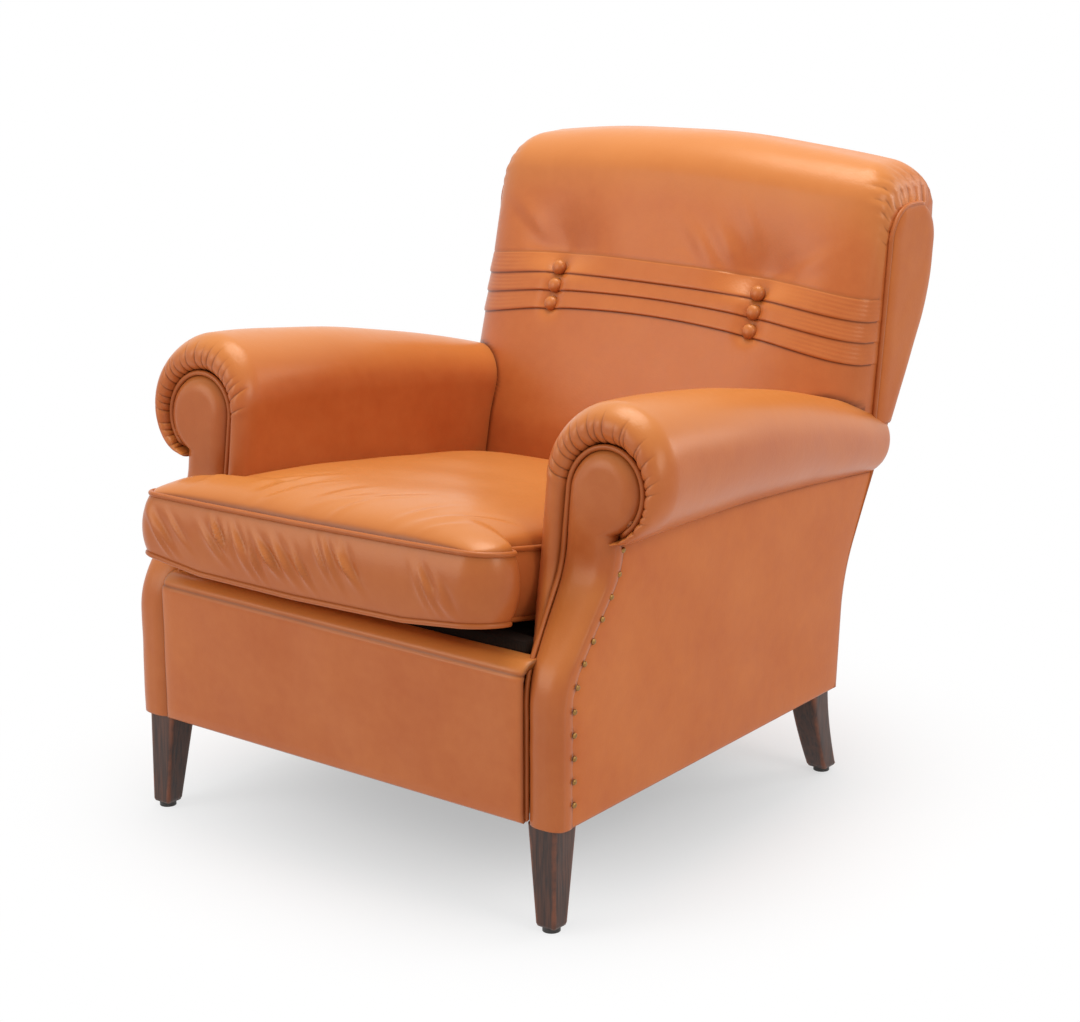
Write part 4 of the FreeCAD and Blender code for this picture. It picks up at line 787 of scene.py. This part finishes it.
def cord_tube(name, path, upright, body, *nodes):
    """A round cord along a path: rings of 12 points square to it, set out from a direction that the path
    never runs along; both ends shrink to points."""
    way = np.gradient(path, axis=0)
    way /= np.linalg.norm(way, axis=1, keepdims=True)
    first = upright - way * (way @ upright)[:, None]
    first /= np.linalg.norm(first, axis=1, keepdims=True)
    second = np.cross(way, first)
    turn = np.linspace(0, 2 * np.pi, 12, endpoint=False)[None, :, None]
    ring = first[:, None] * np.cos(turn) + second[:, None] * np.sin(turn)
    size = np.full((len(path), 1, 1), cord_round)
    size[[0, -1]] = 0
    made = grid_mesh(name, path[:, None] + ring * size, piping_hide, around=True, crease=0.0, wear=0.1)
    settle(made, body, "leather_piping", *nodes)


piping_hide = hide("piping_hide", "#4A2210", ("#A04E22", "#B25E2C"), "#B8662E", "#C8743C", 0.34)
cord_round, cord_out, cord_back, cord_low = 0.0031, 0.0022, 0.001, 0.1215
cord_stop, cord_tail, tail_deep = -1.22, 10, 0.012
cord_ring = scroll_round + cord_out
cord_turn = np.linspace(np.pi, cord_stop, 120)
cord_rise = np.linspace(cord_low, scroll_z, 120)[:-1]
cord_z = np.concatenate([cord_rise, scroll_z + cord_ring * np.sin(cord_turn)])
cord_x = np.concatenate([facing_inner(cord_rise) - cord_out, scroll_x + cord_ring * np.cos(cord_turn)])
cord_path = np.stack([cord_x, facing_y(cord_z) + cord_back, cord_z], -1)
cord_path[-cord_tail:, 1] += np.linspace(0, tail_deep, cord_tail)

brass = speckled("antique_brass", 0.004, 3.0, ("#6B4A26", "#B48A50"), (0.34, 0.34), Metallic=1.0)
nails, nail_first, nail_gap, nail_inset = 12, 0.012, 0.026, 0.018
nail_round, nail_high, nail_proud = 0.0036, 0.0028, 0.0026
nail_line = facing_bend + np.array([nail_inset, 0])
nail_at = nail_first + nail_gap * np.arange(1, nails + 1)
nail_y, nail_z = (np.interp(nail_at, run_along(nail_line), nail_line[:, k]) for k in (0, 1))
dome = np.linspace(0, np.pi / 2, 6)
dome_wide = np.concatenate([[0], np.cos(dome)])[:, None]
dome_rise = np.concatenate([[0], np.sin(dome)])[:, None]
spin = np.linspace(0, 2 * np.pi, 14, endpoint=False)[None, :]
dome_out = np.broadcast_to(nail_high * dome_rise, (len(dome_rise), spin.size))
dome_wide = nail_round * dome_wide
nail_head = np.stack([dome_out, dome_wide * np.cos(spin), dome_wide * np.sin(spin)], -1)
nail_spots = np.stack([panel_face(nail_y) + nail_proud, nail_y, nail_z], -1)

for side, word in sides:
    mirror = np.array([side, 1, 1])
    facing = grid_mesh(
        f"facing_cover_{word}", face * mirror, tan_hide, flip=side < 0, crease=face_crease, wear=0.0
    )
    thicken(facing, "board", facing_depth)
    settle(facing, "chair", "tan_leather", f"arm_facing_{word}")
    backward = np.array([0.0, 1, 0])
    cord_tube(f"facing_cord_{word}", cord_path * mirror, backward, "chair", f"facing_piping_{word}")
    domes = [(spot + nail_head) * mirror for spot in nail_spots]
    heads = grid_mesh(f"brass_nails_{word}", domes, brass, around=True, flip=side < 0)
    settle(heads, "chair", "nail_brass", f"facing_nails_{word}")

# Outside arms: hide over a board, blind-stitched under the roll, nailed along the facing and pulled round
# the rear edge. It is nearly flat, with small dents at the nails. The outer panels are never rubbed, so
# their hide keeps a duller finish than the seat, arms and back.
panel_hide = hide("panel_hide", "#5E260C", ("#BC612B", "#CA7236"), "#CA7A38", "#D08846", 0.36, 0.27)
panel_low, panel_guess, panel_tuck, panel_limit = 0.1208, 0.27, 0.002, 0.43
panel_inset, panel_rear_gap, board_depth = 0.0105, 0.001, 0.005
panel_full, panel_sunk, panel_wave, panel_wave_size = 0.0028, 0.0005, 0.0011, 0.13
dent_deep, dent_wide = 0.0011, 0.008
down_share = np.linspace(0, 1, 110)[:, None]
back_share = np.linspace(0, 1, 200)[None, :]
panel_z = panel_low + panel_guess * down_share + 0 * back_share
for _ in range(6):
    panel_front, panel_rear = facing_y(panel_z) + panel_inset, back_y(panel_z) - panel_rear_gap
    panel_y = panel_front + (panel_rear - panel_front) * back_share
    panel_seam = seam_front - seam_fall * arm_share(panel_y) ** seam_power
    panel_z = panel_low + (np.minimum(panel_seam + panel_tuck, panel_limit) - panel_low) * down_share
flat = np.sqrt((1 - (2 * down_share - 1) ** 8) * (1 - (2 * back_share - 1) ** 10))
panel = np.stack([panel_face(panel_y) + panel_full * flat - panel_sunk, panel_y, panel_z], -1)
dents = sum(line_mark(np.hypot(panel_y - y, panel_z - z), dent_wide) for y, z in zip(nail_y, nail_z))
panel[..., 0] += panel_wave * ripple(panel, panel_wave_size, 31) * flat - dent_deep * np.clip(dents, 0, 1)
# Painted shade along the top under the roll and along the front and rear edges.
panel_crease = 0.45 * line_mark(1 - down_share, 0.012) + 0.4 * line_mark(back_share, 0.008)
panel_crease = np.clip(panel_crease + 0.35 * line_mark(1 - back_share, 0.006), 0, 1)
for side, word in sides:
    outside_arm = grid_mesh(
        f"outside_arm_cover_{word}",
        panel * np.array([side, 1, 1]),
        panel_hide,
        flip=side < 0,
        crease=panel_crease,
        wear=0.0,
    )
    thicken(outside_arm, "board", board_depth)
    settle(outside_arm, "chair", "tan_leather", f"outside_arm_{word}")

# Inside back: a horsehair pad under one hide, with three tucks sewn across it that lap downwards, two
# columns of buttons that tie it through, and pleats where the hide turns round the top corners to the
# side panels.
back_half, back_top, back_arch, corner_round = 0.2947, 0.767, 0.025, 0.042
lumbar_y, lumbar_z, crest_y = 0.153, 0.392, 0.292
arm_line = arm_left + 0.003
button_x, button_low, button_gap, buttons_high = 0.153, 0.547, 0.0226, 3
side_low, side_high, side_round = 0.437, 0.7, 0.046
front_corners = [(0.276, side_low), (0.3, 0.64), (0.306, side_high), (0.358, side_high)]
rear_corners = [(0.316, side_low), (0.397, 0.585), (0.41, side_high), (0.358, side_high)]
side_edge = rounded_path(front_corners, [0.3, side_round], 40)
rear_edge = rounded_path(rear_corners, [0.2, side_round], 40)
sewn_x, sewn_lap, pleat_gap, pleat_high = 0.2972, 0.001, 0.0165, 0.003
tuck_drop, tuck_rise, seam_sunk, fine_high = 0.0068, 0.0021, 0.0006, 0.00008
# For each sewn line, from the lowest: its rise between the buttons, its fall to the sides and its offset.
tuck_between = (0.008, 0.006, 0.002, 0.001)
tuck_outside = (0.026, 0.022, 0.02, 0.02)
tuck_offset = (0, 0, 0, 0.004)
tie_deep, tie_wide, hollow_deep, hollow_wide = 0.0075, 0.014, 0.017, 0.05
back_wave, back_wave_size, pad_depth = 0.0016, 0.16, 0.006
path_steps, share_count, run_count = 30, 161, 900
front_count = int(run_count * 0.72)


def kept(share, middle, side):
    """A value that keeps to the middle of the back and rounds off to another at its sides."""
    return side + (middle - side) * np.sqrt(1 - share**4)


share = np.linspace(0, 1, share_count)
corner_reach = np.clip(share * back_half - (back_half - corner_round), 0, None)
top_line = back_top - back_arch * share**2 - corner_round + np.sqrt(corner_round**2 - corner_reach**2)
corners = [
    (kept(share, 0.132, 0.146), np.full_like(share, 0.208)),
    (kept(share, 0.137, 0.156), np.full_like(share, 0.262)),
    (kept(share, lumbar_y, 0.253), lumbar_z + kept(share, 0, 0.04)),
    (kept(share, crest_y, 0.304), top_line),
    (kept(share, 0.4095, 0.406), top_line),
    (kept(share, 0.4, 0.4055), np.full_like(share, 0.645)),
]
bends = [0.06, 0.18, kept(share, 0.075, 0.028), 0.6 * (top_line - 0.6926)]
bends = [np.broadcast_to(bend, share.shape) for bend in bends]
profile = rounded_path([np.stack(corner, -1) for corner in corners], bends, path_steps)
runs = run_along(profile)
even = np.linspace(0, 1, run_count)
profile_y, profile_z = (
    np.stack([np.interp(even * run[-1], run, line) for run, line in zip(runs.T, profile[..., k].T)])
    for k in (0, 1)
)


def back_at(share, run):
    """A point of the inside back's smooth form at shares of its half width and of its profile's length, read
    between the neighbours of a fine table."""
    i = np.clip(share * (share_count - 1), 0, share_count - 1.001)
    j = np.clip(run * (run_count - 1), 0, run_count - 1.001)
    a, b = i.astype(int), j.astype(int)
    p, q = i - a, j - b
    found = []
    for values in (profile_y, profile_z):
        low = values[a, b] * (1 - q) + values[a, b + 1] * q
        high = values[a + 1, b] * (1 - q) + values[a + 1, b + 1] * q
        found.append(low * (1 - p) + high * p)
    return found


def tuck_line(number):
    """Height of a sewn line at each share of the half width: it hangs at the buttons, rises between the two
    columns as a parabola, and falls towards the sides. Line 0 is the lowest."""
    x = share * back_half
    at_button = button_low + button_gap * number - tuck_drop + tuck_offset[number]
    between = tuck_between[number] * np.clip(1 - (x / button_x) ** 2, 0, None)
    outside = tuck_outside[number] * np.clip((x - button_x) / (back_half - button_x), 0, None) ** 1.2
    return at_button + between - outside


def run_at(heights):
    """The share of the profile's length where its front reaches a height, at each share of the width."""
    fronts = zip(heights, profile_z[:, :front_count])
    return np.array([np.interp(height, front, even[:front_count]) for height, front in fronts])


levels = [np.full(share_count, 0.03), *(run_at(tuck_line(k)) for k in range(4)), np.ones(share_count)]
row_counts = (60, 24, 24, 24, 130)
across = np.linspace(-1, 1, 161)[None, :]
lap = np.repeat(np.arange(len(row_counts)), row_counts)[:, None]
top_lap = len(row_counts) - 1
part = [np.linspace(0, 1, count, endpoint=k == top_lap) for k, count in enumerate(row_counts)]
part = np.concatenate(part)[:, None]
part = np.where(lap == 0, 1 - (1 - part) ** 2, part)
middle_level = np.array([level[110] for level in levels])
row_run = middle_level[lap] + (middle_level[lap + 1] - middle_level[lap]) * part
row_z = back_at(np.full_like(row_run, 0.72), row_run)[1]
narrow = smooth((row_z - 0.412) / 0.06)
wide = np.where(row_run < even[front_count], arm_line + (back_half - arm_line) * narrow, back_half)
back_x = across * wide
back_share = np.abs(back_x) / back_half
level_at = np.stack([np.interp(back_share, share, level) for level in levels])
laps = np.broadcast_to(lap, back_x.shape)
low_run, high_run = (np.take_along_axis(level_at, laps[None] + k, axis=0)[0] for k in (0, 1))
back_run = low_run + (high_run - low_run) * part
back_depth, back_height = back_at(back_share, back_run)
back_skin = np.stack([back_x, back_depth, back_height], -1)
back_normal = normals_of(back_skin)

tucked = (laps > 0) & (laps < top_lap)
lapped = np.where(tucked, (1 - part) * (1 - 0.75 * np.exp(-part / 0.035)), 0)
seam_row = np.where(laps == top_lap, line_mark(part, 0.006), 0)
lift = tuck_rise * lapped - seam_sunk * seam_row
# Painted shade: dark lines under the lapped tucks and along the top sewn line.
tuck_dark = np.where((laps <= 2) & (part > 0.5), line_mark((1 - part) * (1 + 10 * (laps == 0)), 0.055), 0)
tuck_dark += np.where(tucked, line_mark(part, 0.02), 0)
tuck_dark = np.clip(tuck_dark + 0.4 * seam_row, 0, 1)
fine = np.sin(part * 5 * 2 * np.pi + 3 * np.sin(back_x * 21)) * smooth((np.abs(back_x) - 0.17) / 0.08)
lift += np.where(tucked, fine_high * fine, 0)
button_share = np.array([button_x / back_half])
button_front = profile_z[int(button_share[0] * (share_count - 1)), :front_count]
button_spots = []
for x_side in (-1, 1):
    for number in range(buttons_high):
        spot_run = np.interp(button_low + button_gap * number, button_front, even[:front_count])
        spot_y, spot_z = back_at(button_share, np.array([spot_run]))
        button_spots.append((x_side * button_x, spot_y[0], spot_z[0]))
for number, spot in enumerate(button_spots):
    away = np.linalg.norm(back_skin - np.array(spot), axis=-1)
    lift -= tie_deep * line_mark(away, tie_wide)
    if number % buttons_high == buttons_high - 1:
        above = smooth((back_height - spot[2] + 0.02) / 0.05)
        away = np.hypot(back_x - spot[0], (back_height - spot[2] - 0.012) * 0.9)
        lift -= hollow_deep * line_mark(away, hollow_wide) * above


def streaks(u, v, marks):
    """Soft creases: each of the marks (u, v, angle, length, width, height) is a ridge with a bell section
    across it and a longer bell along it, and a shallower valley beside it."""
    field = np.zeros(np.broadcast_shapes(u.shape, v.shape))
    for at_u, at_v, angle, length, width, height in marks:
        along = (u - at_u) * math.cos(angle) + (v - at_v) * math.sin(angle)
        aside = (v - at_v) * math.cos(angle) - (u - at_u) * math.sin(angle)
        ridge = line_mark(aside, width) - 0.6 * line_mark(aside - 1.7 * width, width)
        field += height * ridge * line_mark(along, length)
    return field


pulls = [
    (0.100, 0.640, 2.30, 0.040, 0.0105, 0.0016),
    (0.062, 0.640, 2.40, 0.034, 0.0100, 0.0012),
    (0.125, 0.668, 2.15, 0.030, 0.0090, 0.0009),
    (0.215, 0.628, 0.55, 0.040, 0.0090, 0.0008),
    (-0.200, 0.640, 2.50, 0.040, 0.0110, 0.0012),
    (-0.230, 0.655, 2.60, 0.030, 0.0090, 0.0008),
]
lift += np.where(tucked, 0, streaks(back_x, back_height, pulls))
lift += back_wave * ripple(back_skin, back_wave_size, 51)
pleat_phase = back_run * np.interp(back_share, share, runs[-1]) / pleat_gap
pleat_reach = np.interp(pleat_phase, np.arange(60), np.random.default_rng(53).uniform(0.06, 0.13, 60))
turned = smooth((back_share - 1 + pleat_reach) / pleat_reach)
turned *= smooth((back_run - 0.69) / 0.05) * smooth((0.92 - back_run) / 0.04)
pleat_wave = np.abs(np.sin(np.pi * pleat_phase))
lift += pleat_high * turned * (pleat_wave**0.6 - 0.7)
# Painted shade in the pleats at the top corners.
pleat_dark = turned * line_mark(pleat_wave, 0.13)
# Painted shade where the hide meets the arms: dark by the nearest point of the arm's section at that depth.
arm_shown = wall_columns + roll_columns
slice_y = np.linspace(0.13, 0.32, 60)
slice_x, slice_z = arm_section(np.repeat(slice_y[:, None], arm_columns, axis=1))
meets = (np.abs(back_x) > 0.18) & (back_height < 0.6) & (back_depth < slice_y[-1])
nearest = np.clip(np.searchsorted(slice_y, back_depth[meets]), 0, len(slice_y) - 1)
gap_x = slice_x[nearest, :arm_shown] - np.abs(back_x)[meets][:, None]
gap_z = slice_z[nearest, :arm_shown] - back_height[meets][:, None]
side_dark = np.zeros(back_x.shape)
side_dark[meets] = line_mark(np.hypot(gap_x, gap_z).min(axis=1), 0.005)
back_skin = back_skin + back_normal * lift[..., None]
back_crease = np.clip(0.9 * tuck_dark + 0.7 * pleat_dark + 0.95 * side_dark, 0, 1)
# A paler band over the upper back and crest: partly rub wear and partly painted highlight.
back_wear = 0.3 * smooth((back_run - 0.62) / 0.08) * smooth((0.85 - back_run) / 0.08)
# Its sides turn in to the seam line of the side panels, up the front edge and over the top.
arch = np.concatenate([side_edge, rear_edge[rear_edge[:, 1] > 0.65][::-1][1:]])
edge_run = run_along(arch)
edge_steps = np.linspace(0, edge_run[-1], 500)
sewn_line = np.stack([np.interp(edge_steps, edge_run, arch[:, k]) for k in (0, 1)], -1)
flanks = []
for edge, way in ((back_skin[:, 0], -1), (back_skin[:, -1], 1)):
    nearest = np.linalg.norm(edge[:, None, 1:] - sewn_line[None], axis=-1).argmin(axis=1)
    meets = np.concatenate([np.full((len(edge), 1), way * sewn_x), sewn_line[nearest]], axis=1)
    meets[:, 1] += np.where(meets[:, 1] < 0.37, sewn_lap, -5 * sewn_lap)
    held = smooth((edge[:, 2] - 0.43) / 0.02)
    flanks.append(edge[:, None] + ((meets - edge) * held[:, None])[:, None] * wrap[..., None])
back_skin = np.concatenate([flanks[0][:, ::-1], back_skin, flanks[1]], axis=1)
# Painted shade where the flanks turn in to the sewn line.
sewn = np.broadcast_to(0.5 * wrap**6, flanks[0].shape[:2])
back_crease = np.concatenate([sewn[:, ::-1], back_crease, sewn], axis=1)
back_wear = np.pad(back_wear, ((0, 0), (wrap.size, wrap.size)))
inside_back = grid_mesh("inside_back_cover", back_skin, tan_hide, crease=back_crease, wear=back_wear)
thicken(inside_back, "stuffing", pad_depth)
settle(inside_back, "chair", "tan_leather", "back_pad")

button_round, button_high, button_sunk, button_skirt = 0.0098, 0.0078, 0.0046, 0.004
back_lean = math.atan2(crest_y - lumbar_y, back_top - lumbar_z)
outward = np.array([0, -math.cos(back_lean), math.sin(back_lean)])
upward = np.array([0, math.sin(back_lean), math.cos(back_lean)])
rightward = np.array([1.0, 0, 0])
dome = np.linspace(0, np.pi / 2, 12)[:, None, None]
spin = np.linspace(0, 2 * np.pi, 28, endpoint=False)[None, :, None]
ring = button_round * (rightward * np.cos(spin) + upward * np.sin(spin))
cap = np.cos(dome) ** 0.8 * ring + button_high * np.sin(dome) * outward
skirt = 0.9 * ring - button_skirt * outward
underside = 0 * ring - button_skirt * outward
button_shape = np.concatenate([underside, skirt, cap]) - button_sunk * outward
# Painted shade: darkest under the button and round its skirt, lightening to none at the top of its dome.
button_crease = np.linspace(0.758, 0, len(button_shape))[:, None] ** 2
buttons = grid_mesh(
    "covered_buttons",
    [np.array(spot) + button_shape for spot in button_spots],
    tan_hide,
    around=True,
    crease=[button_crease] * len(button_spots),
    wear=0.15,
)
settle(buttons, "chair", "tan_leather", "back_buttons")

# Side panels and outside back: hide over thin boards, blind-stitched, with a piping cord round the front
# edge and top of each side panel and a short welt across its foot.
side_out, side_sunk, side_puff, side_edge_wide = 0.3005, 0.002, 0.0045, 0.02
side_wave, side_wave_size = 0.0006, 0.06
welt_x, welt_forward, welt_tail = 0.2985, 0.0016, 8


def edge_at(height, edge):
    """Depth of a panel's edge at a height, along the part of the edge that climbs."""
    climbs = np.concatenate([[True], np.diff(edge[:, 1]) > 1e-7])
    return np.interp(height, edge[climbs, 1], edge[climbs, 0])


rise = np.linspace(0, 1, 120)[:, None]
side_z = side_low + (side_high - side_low) * (1 - (1 - rise) ** 1.6)
side_front, side_rear = edge_at(side_z, side_edge), edge_at(side_z, rear_edge)
over = 0.5 - 0.5 * np.cos(np.pi * np.linspace(0, 1, 50))[None, :]
side_y = side_front + (side_rear - side_front) * over
near = np.minimum(np.minimum(side_y - side_front, side_rear - side_y), side_high - side_z)
side_x = side_out - side_sunk + side_puff * pillow(near, side_edge_wide)
side_skin = np.stack([side_x, side_y, np.broadcast_to(side_z, side_y.shape)], -1)
side_skin[..., 0] += side_wave * ripple(side_skin, side_wave_size, 61)
# Painted shade: the whole panel a little darker, and dark lines along its edges.
side_crease = 0.12 + 0.55 * line_mark(near, 0.002)
welt_foot = np.stack([np.linspace(0.312, 0.2785, 14), np.linspace(0.4375, 0.4395, 14)], -1)
welt_top = rear_edge[::-1]
welt_top = welt_top[(welt_top[:, 0] < 0.382) & (welt_top[:, 1] > 0.66)]
welt_line = np.concatenate([welt_foot, side_edge[1:] - np.array([welt_forward, 0]), welt_top[1:]])
welt_run = run_along(welt_line)
welt_even = np.linspace(0, welt_run[-1], 260)
welt_y, welt_z = (np.interp(welt_even, welt_run, welt_line[:, k]) for k in (0, 1))
welt_path = np.stack([np.full_like(welt_y, welt_x), welt_y, welt_z], -1)
welt_path[-welt_tail:, 0] -= np.linspace(0, tail_deep, welt_tail)
for side, word in sides:
    mirror = np.array([side, 1, 1])
    back_side = grid_mesh(
        f"back_side_cover_{word}",
        side_skin * mirror,
        panel_hide,
        flip=side < 0,
        crease=side_crease,
        wear=0.0,
    )
    thicken(back_side, "board", board_depth)
    settle(back_side, "chair", "tan_leather", f"back_side_{word}")
    cord_tube(f"back_cord_{word}", welt_path * mirror, rightward, "chair", f"back_piping_{word}")

outer_low, outer_high, outer_half, outer_narrow = 0.1208, 0.694, 0.3005, 0.011
outer_sunk, outer_full, outer_edge_wide = 0.006, 0.007, 0.012
outer_wave, outer_wave_size = 0.0012, 0.15
outer_z = np.linspace(outer_low, outer_high, 150)[:, None]
outer_reach = outer_half - outer_narrow * smooth((outer_z - 0.64) / 0.05)
outer_x = np.linspace(1, -1, 121)[None, :] * outer_reach
near = np.minimum(np.minimum(outer_reach - np.abs(outer_x), outer_z - outer_low), outer_high - outer_z)
fullness = pillow(near, outer_edge_wide)
outer_y = back_y(outer_z) - outer_sunk + outer_full * fullness
outer_skin = np.stack(np.broadcast_arrays(outer_x, outer_y, outer_z), -1)
outer_skin[..., 1] += outer_wave * ripple(outer_skin, outer_wave_size, 71) * fullness
# Painted shade along the edges of the outside back.
outer_crease = 0.4 * line_mark(near, 0.002)
outside_back = grid_mesh("outside_back_cover", outer_skin, panel_hide, crease=outer_crease, wear=0.0)
thicken(outside_back, "board", board_depth)
settle(outside_back, "chair", "tan_leather", "outside_back")

# Seat cushion: a loose T-shaped cushion, feathers round a firm core in a leather cover. A boxing strip joins
# its top and bottom with a piping cord in each seam. It is the piece that lifts out.
cushion_at = np.array([0, seat_front, 0.325])
cushion_near, cushion_far = 0.0035, 0.545
ear_wide, main_wide, ear_deep = 0.2615, 0.2135, 0.057
ear_drift, ear_stretch = -0.018, 0.4
left_round, front_round, rear_round = 0.02, 0.036, 0.04
cushion_thick, cushion_crown = 0.078, 0.044
cushion_wave, cushion_wave_size = 0.0025, 0.14
boxing_bulge, piping_out = 0.0095, 0.0012


def ear_share(y):
    """1 in front of the arms and 0 between them, along a smooth step over the depth."""
    return 1 - smooth((y - ear_deep + 0.012) / 0.02)


def cushion_wide(y, front_round):
    """Half width of the cushion at a depth: wide in front of the arms, a smooth step in, and quarter circles
    at the front and rear corners."""
    wide = main_wide + (ear_wide - main_wide) * ear_share(y)
    near = np.clip(front_round - (y - cushion_near), 0, front_round)
    far = np.clip(rear_round - (cushion_far - y), 0, rear_round)
    wide = wide - front_round + np.sqrt(front_round**2 - near**2)
    return wide - rear_round + np.sqrt(rear_round**2 - far**2)


def laid(points):
    """Carries points from the flat cushion to its place on the raked seat."""
    x, y, z = np.moveaxis(points, -1, 0)
    cos, sin = math.cos(seat_rake), math.sin(seat_rake)
    return np.stack([x, y * cos + z * sin, z * cos - y * sin], -1) + cushion_at


def seam_lift(x, y, top):
    """How far the seams have worked up or down at the front, where the right corner rides up; it dies out
    towards the rear."""
    at = np.array([-0.262, -0.176, -0.031, 0.128, 0.262])
    low = [0.008, -0.001, -0.001, 0.004, 0.019]
    high = [0.0, 0.001, 0.004, 0.009, 0.0145]
    return np.interp(x, at, high if top else low) * smooth(1 - y / 0.3)


quarter = 1 - np.cos(np.linspace(0, np.pi / 2, 26))
corner_rows = cushion_near + front_round * quarter
end_rows = cushion_far - rear_round * quarter[::-1]
middle_rows = np.linspace(corner_rows[-1], end_rows[0], 130)[1:-1]
rows_y = np.concatenate([corner_rows, middle_rows, end_rows])[:, None]
columns_u = np.linspace(-1, 1, 141)[None, :]
left_wide, right_wide = cushion_wide(rows_y, left_round), cushion_wide(rows_y, front_round)
flat_x = columns_u * np.where(columns_u < 0, left_wide, right_wide)
flat_x = flat_x + ear_drift * ear_share(rows_y) * (1 + ear_stretch * columns_u)
flat_y = np.broadcast_to(rows_y, flat_x.shape)
half_deep = (cushion_far - cushion_near) / 2
reach_v = (flat_y - cushion_near - half_deep) / half_deep
rising = np.sqrt(np.clip(1 - columns_u**4, 0, 1)) * np.sqrt(np.clip(1 - reach_v**4, 0, 1))
top_z = cushion_thick + cushion_crown * rising + seam_lift(flat_x, flat_y, True)
# Seeded creases: the ranges of their place across, place along, angle, length, width and height.
dice = np.random.default_rng(7)
top_ranges = ((-0.2, 0.2), (0.01, 0.07), (0.7, 1.3), (0.02, 0.05), (0.004, 0.008), (0.0008, 0.002))
top_marks = np.stack([dice.uniform(least, most, 16) for least, most in top_ranges], -1)
top_z = top_z + streaks(flat_x, flat_y, top_marks) * np.sqrt(np.clip(rising, 0, 1))
top_skin = np.stack([flat_x, flat_y, top_z], -1)
top_skin[..., 2] += cushion_wave * ripple(top_skin * np.array([1, 1, 0]), cushion_wave_size, 81) * rising
low_skin = np.stack([flat_x, flat_y, seam_lift(flat_x, flat_y, False)], -1)


def edge_loop(grid):
    """The border of a grid, once round: front, right, rear and left."""
    return np.concatenate([grid[0, :-1], grid[:-1, -1], grid[-1, :0:-1], grid[:0:-1, 0]])


border, low_border = edge_loop(top_skin), edge_loop(low_skin)
step = np.roll(border, -1, axis=0) - np.roll(border, 1, axis=0)
outside = np.stack([step[:, 1], -step[:, 0]], -1)
outside /= np.linalg.norm(outside, axis=1, keepdims=True)
strip = np.linspace(0, 1, 34)[:, None]
boxing = low_border[None] + (border - low_border)[None] * strip[..., None]
bulge = boxing_bulge * np.sin(np.pi * strip) ** 0.7
front_across = np.concatenate([dice.uniform(-0.24, 0.02, 15), dice.uniform(0.02, 0.2, 7)])
front_ranges = ((0.025, 0.055), (-1.05, -0.7), (0.016, 0.036), (0.003, 0.0048), (0.0024, 0.0048))
front_others = [dice.uniform(least, most, len(front_across)) for least, most in front_ranges]
front_marks = np.stack([front_across, *front_others], -1)
facing_front = smooth((-outside[:, 1] - 0.5) / 0.3)
rumple = streaks(boxing[..., 0], boxing[..., 2], front_marks) * facing_front * np.sin(np.pi * strip)
boxing[..., :2] += (bulge + rumple)[..., None] * outside
# Painted shade: the boxing a little darker all over, and dark along both seams.
box_crease = np.clip(0.14 + 0.7 * line_mark(strip, 0.035) + 0.7 * line_mark(1 - strip, 0.035), 0, 1)
from_ends = np.minimum(flat_y - cushion_near, cushion_far - flat_y)
rim = np.minimum(np.abs(1 - np.abs(columns_u)) * 0.21, from_ends)
closed_boxing = np.concatenate([boxing, boxing[:, :1]], axis=1)
# The top has painted shade along its edge by the piping; its crown is paler, partly rub wear and partly
# painted highlight.
cushion = grid_mesh(
    "seat_cushion_cover",
    [laid(top_skin), laid(closed_boxing), laid(low_skin[:, ::-1])],
    tan_hide,
    crease=[0.7 * line_mark(rim, 0.002), box_crease, 0.0],
    wear=[0.25 * rising**2, 0.0, 0.0],
)
settle(cushion, "cushion", "tan_leather", "cushion_top", "cushion_bottom", "cushion_boxing", "cushion_core")
for word, line, nodes in (("top", border, ("cushion_piping",)), ("bottom", low_border, ())):
    seam = line.copy()
    seam[:, :2] += piping_out * outside
    seam = np.roll(seam, len(seam) // 2, axis=0)
    seam = np.concatenate([seam, seam[:2]])
    cord_tube(f"cushion_cord_{word}", laid(seam), np.array([0.0, 0, 1]), "cushion", *nodes)
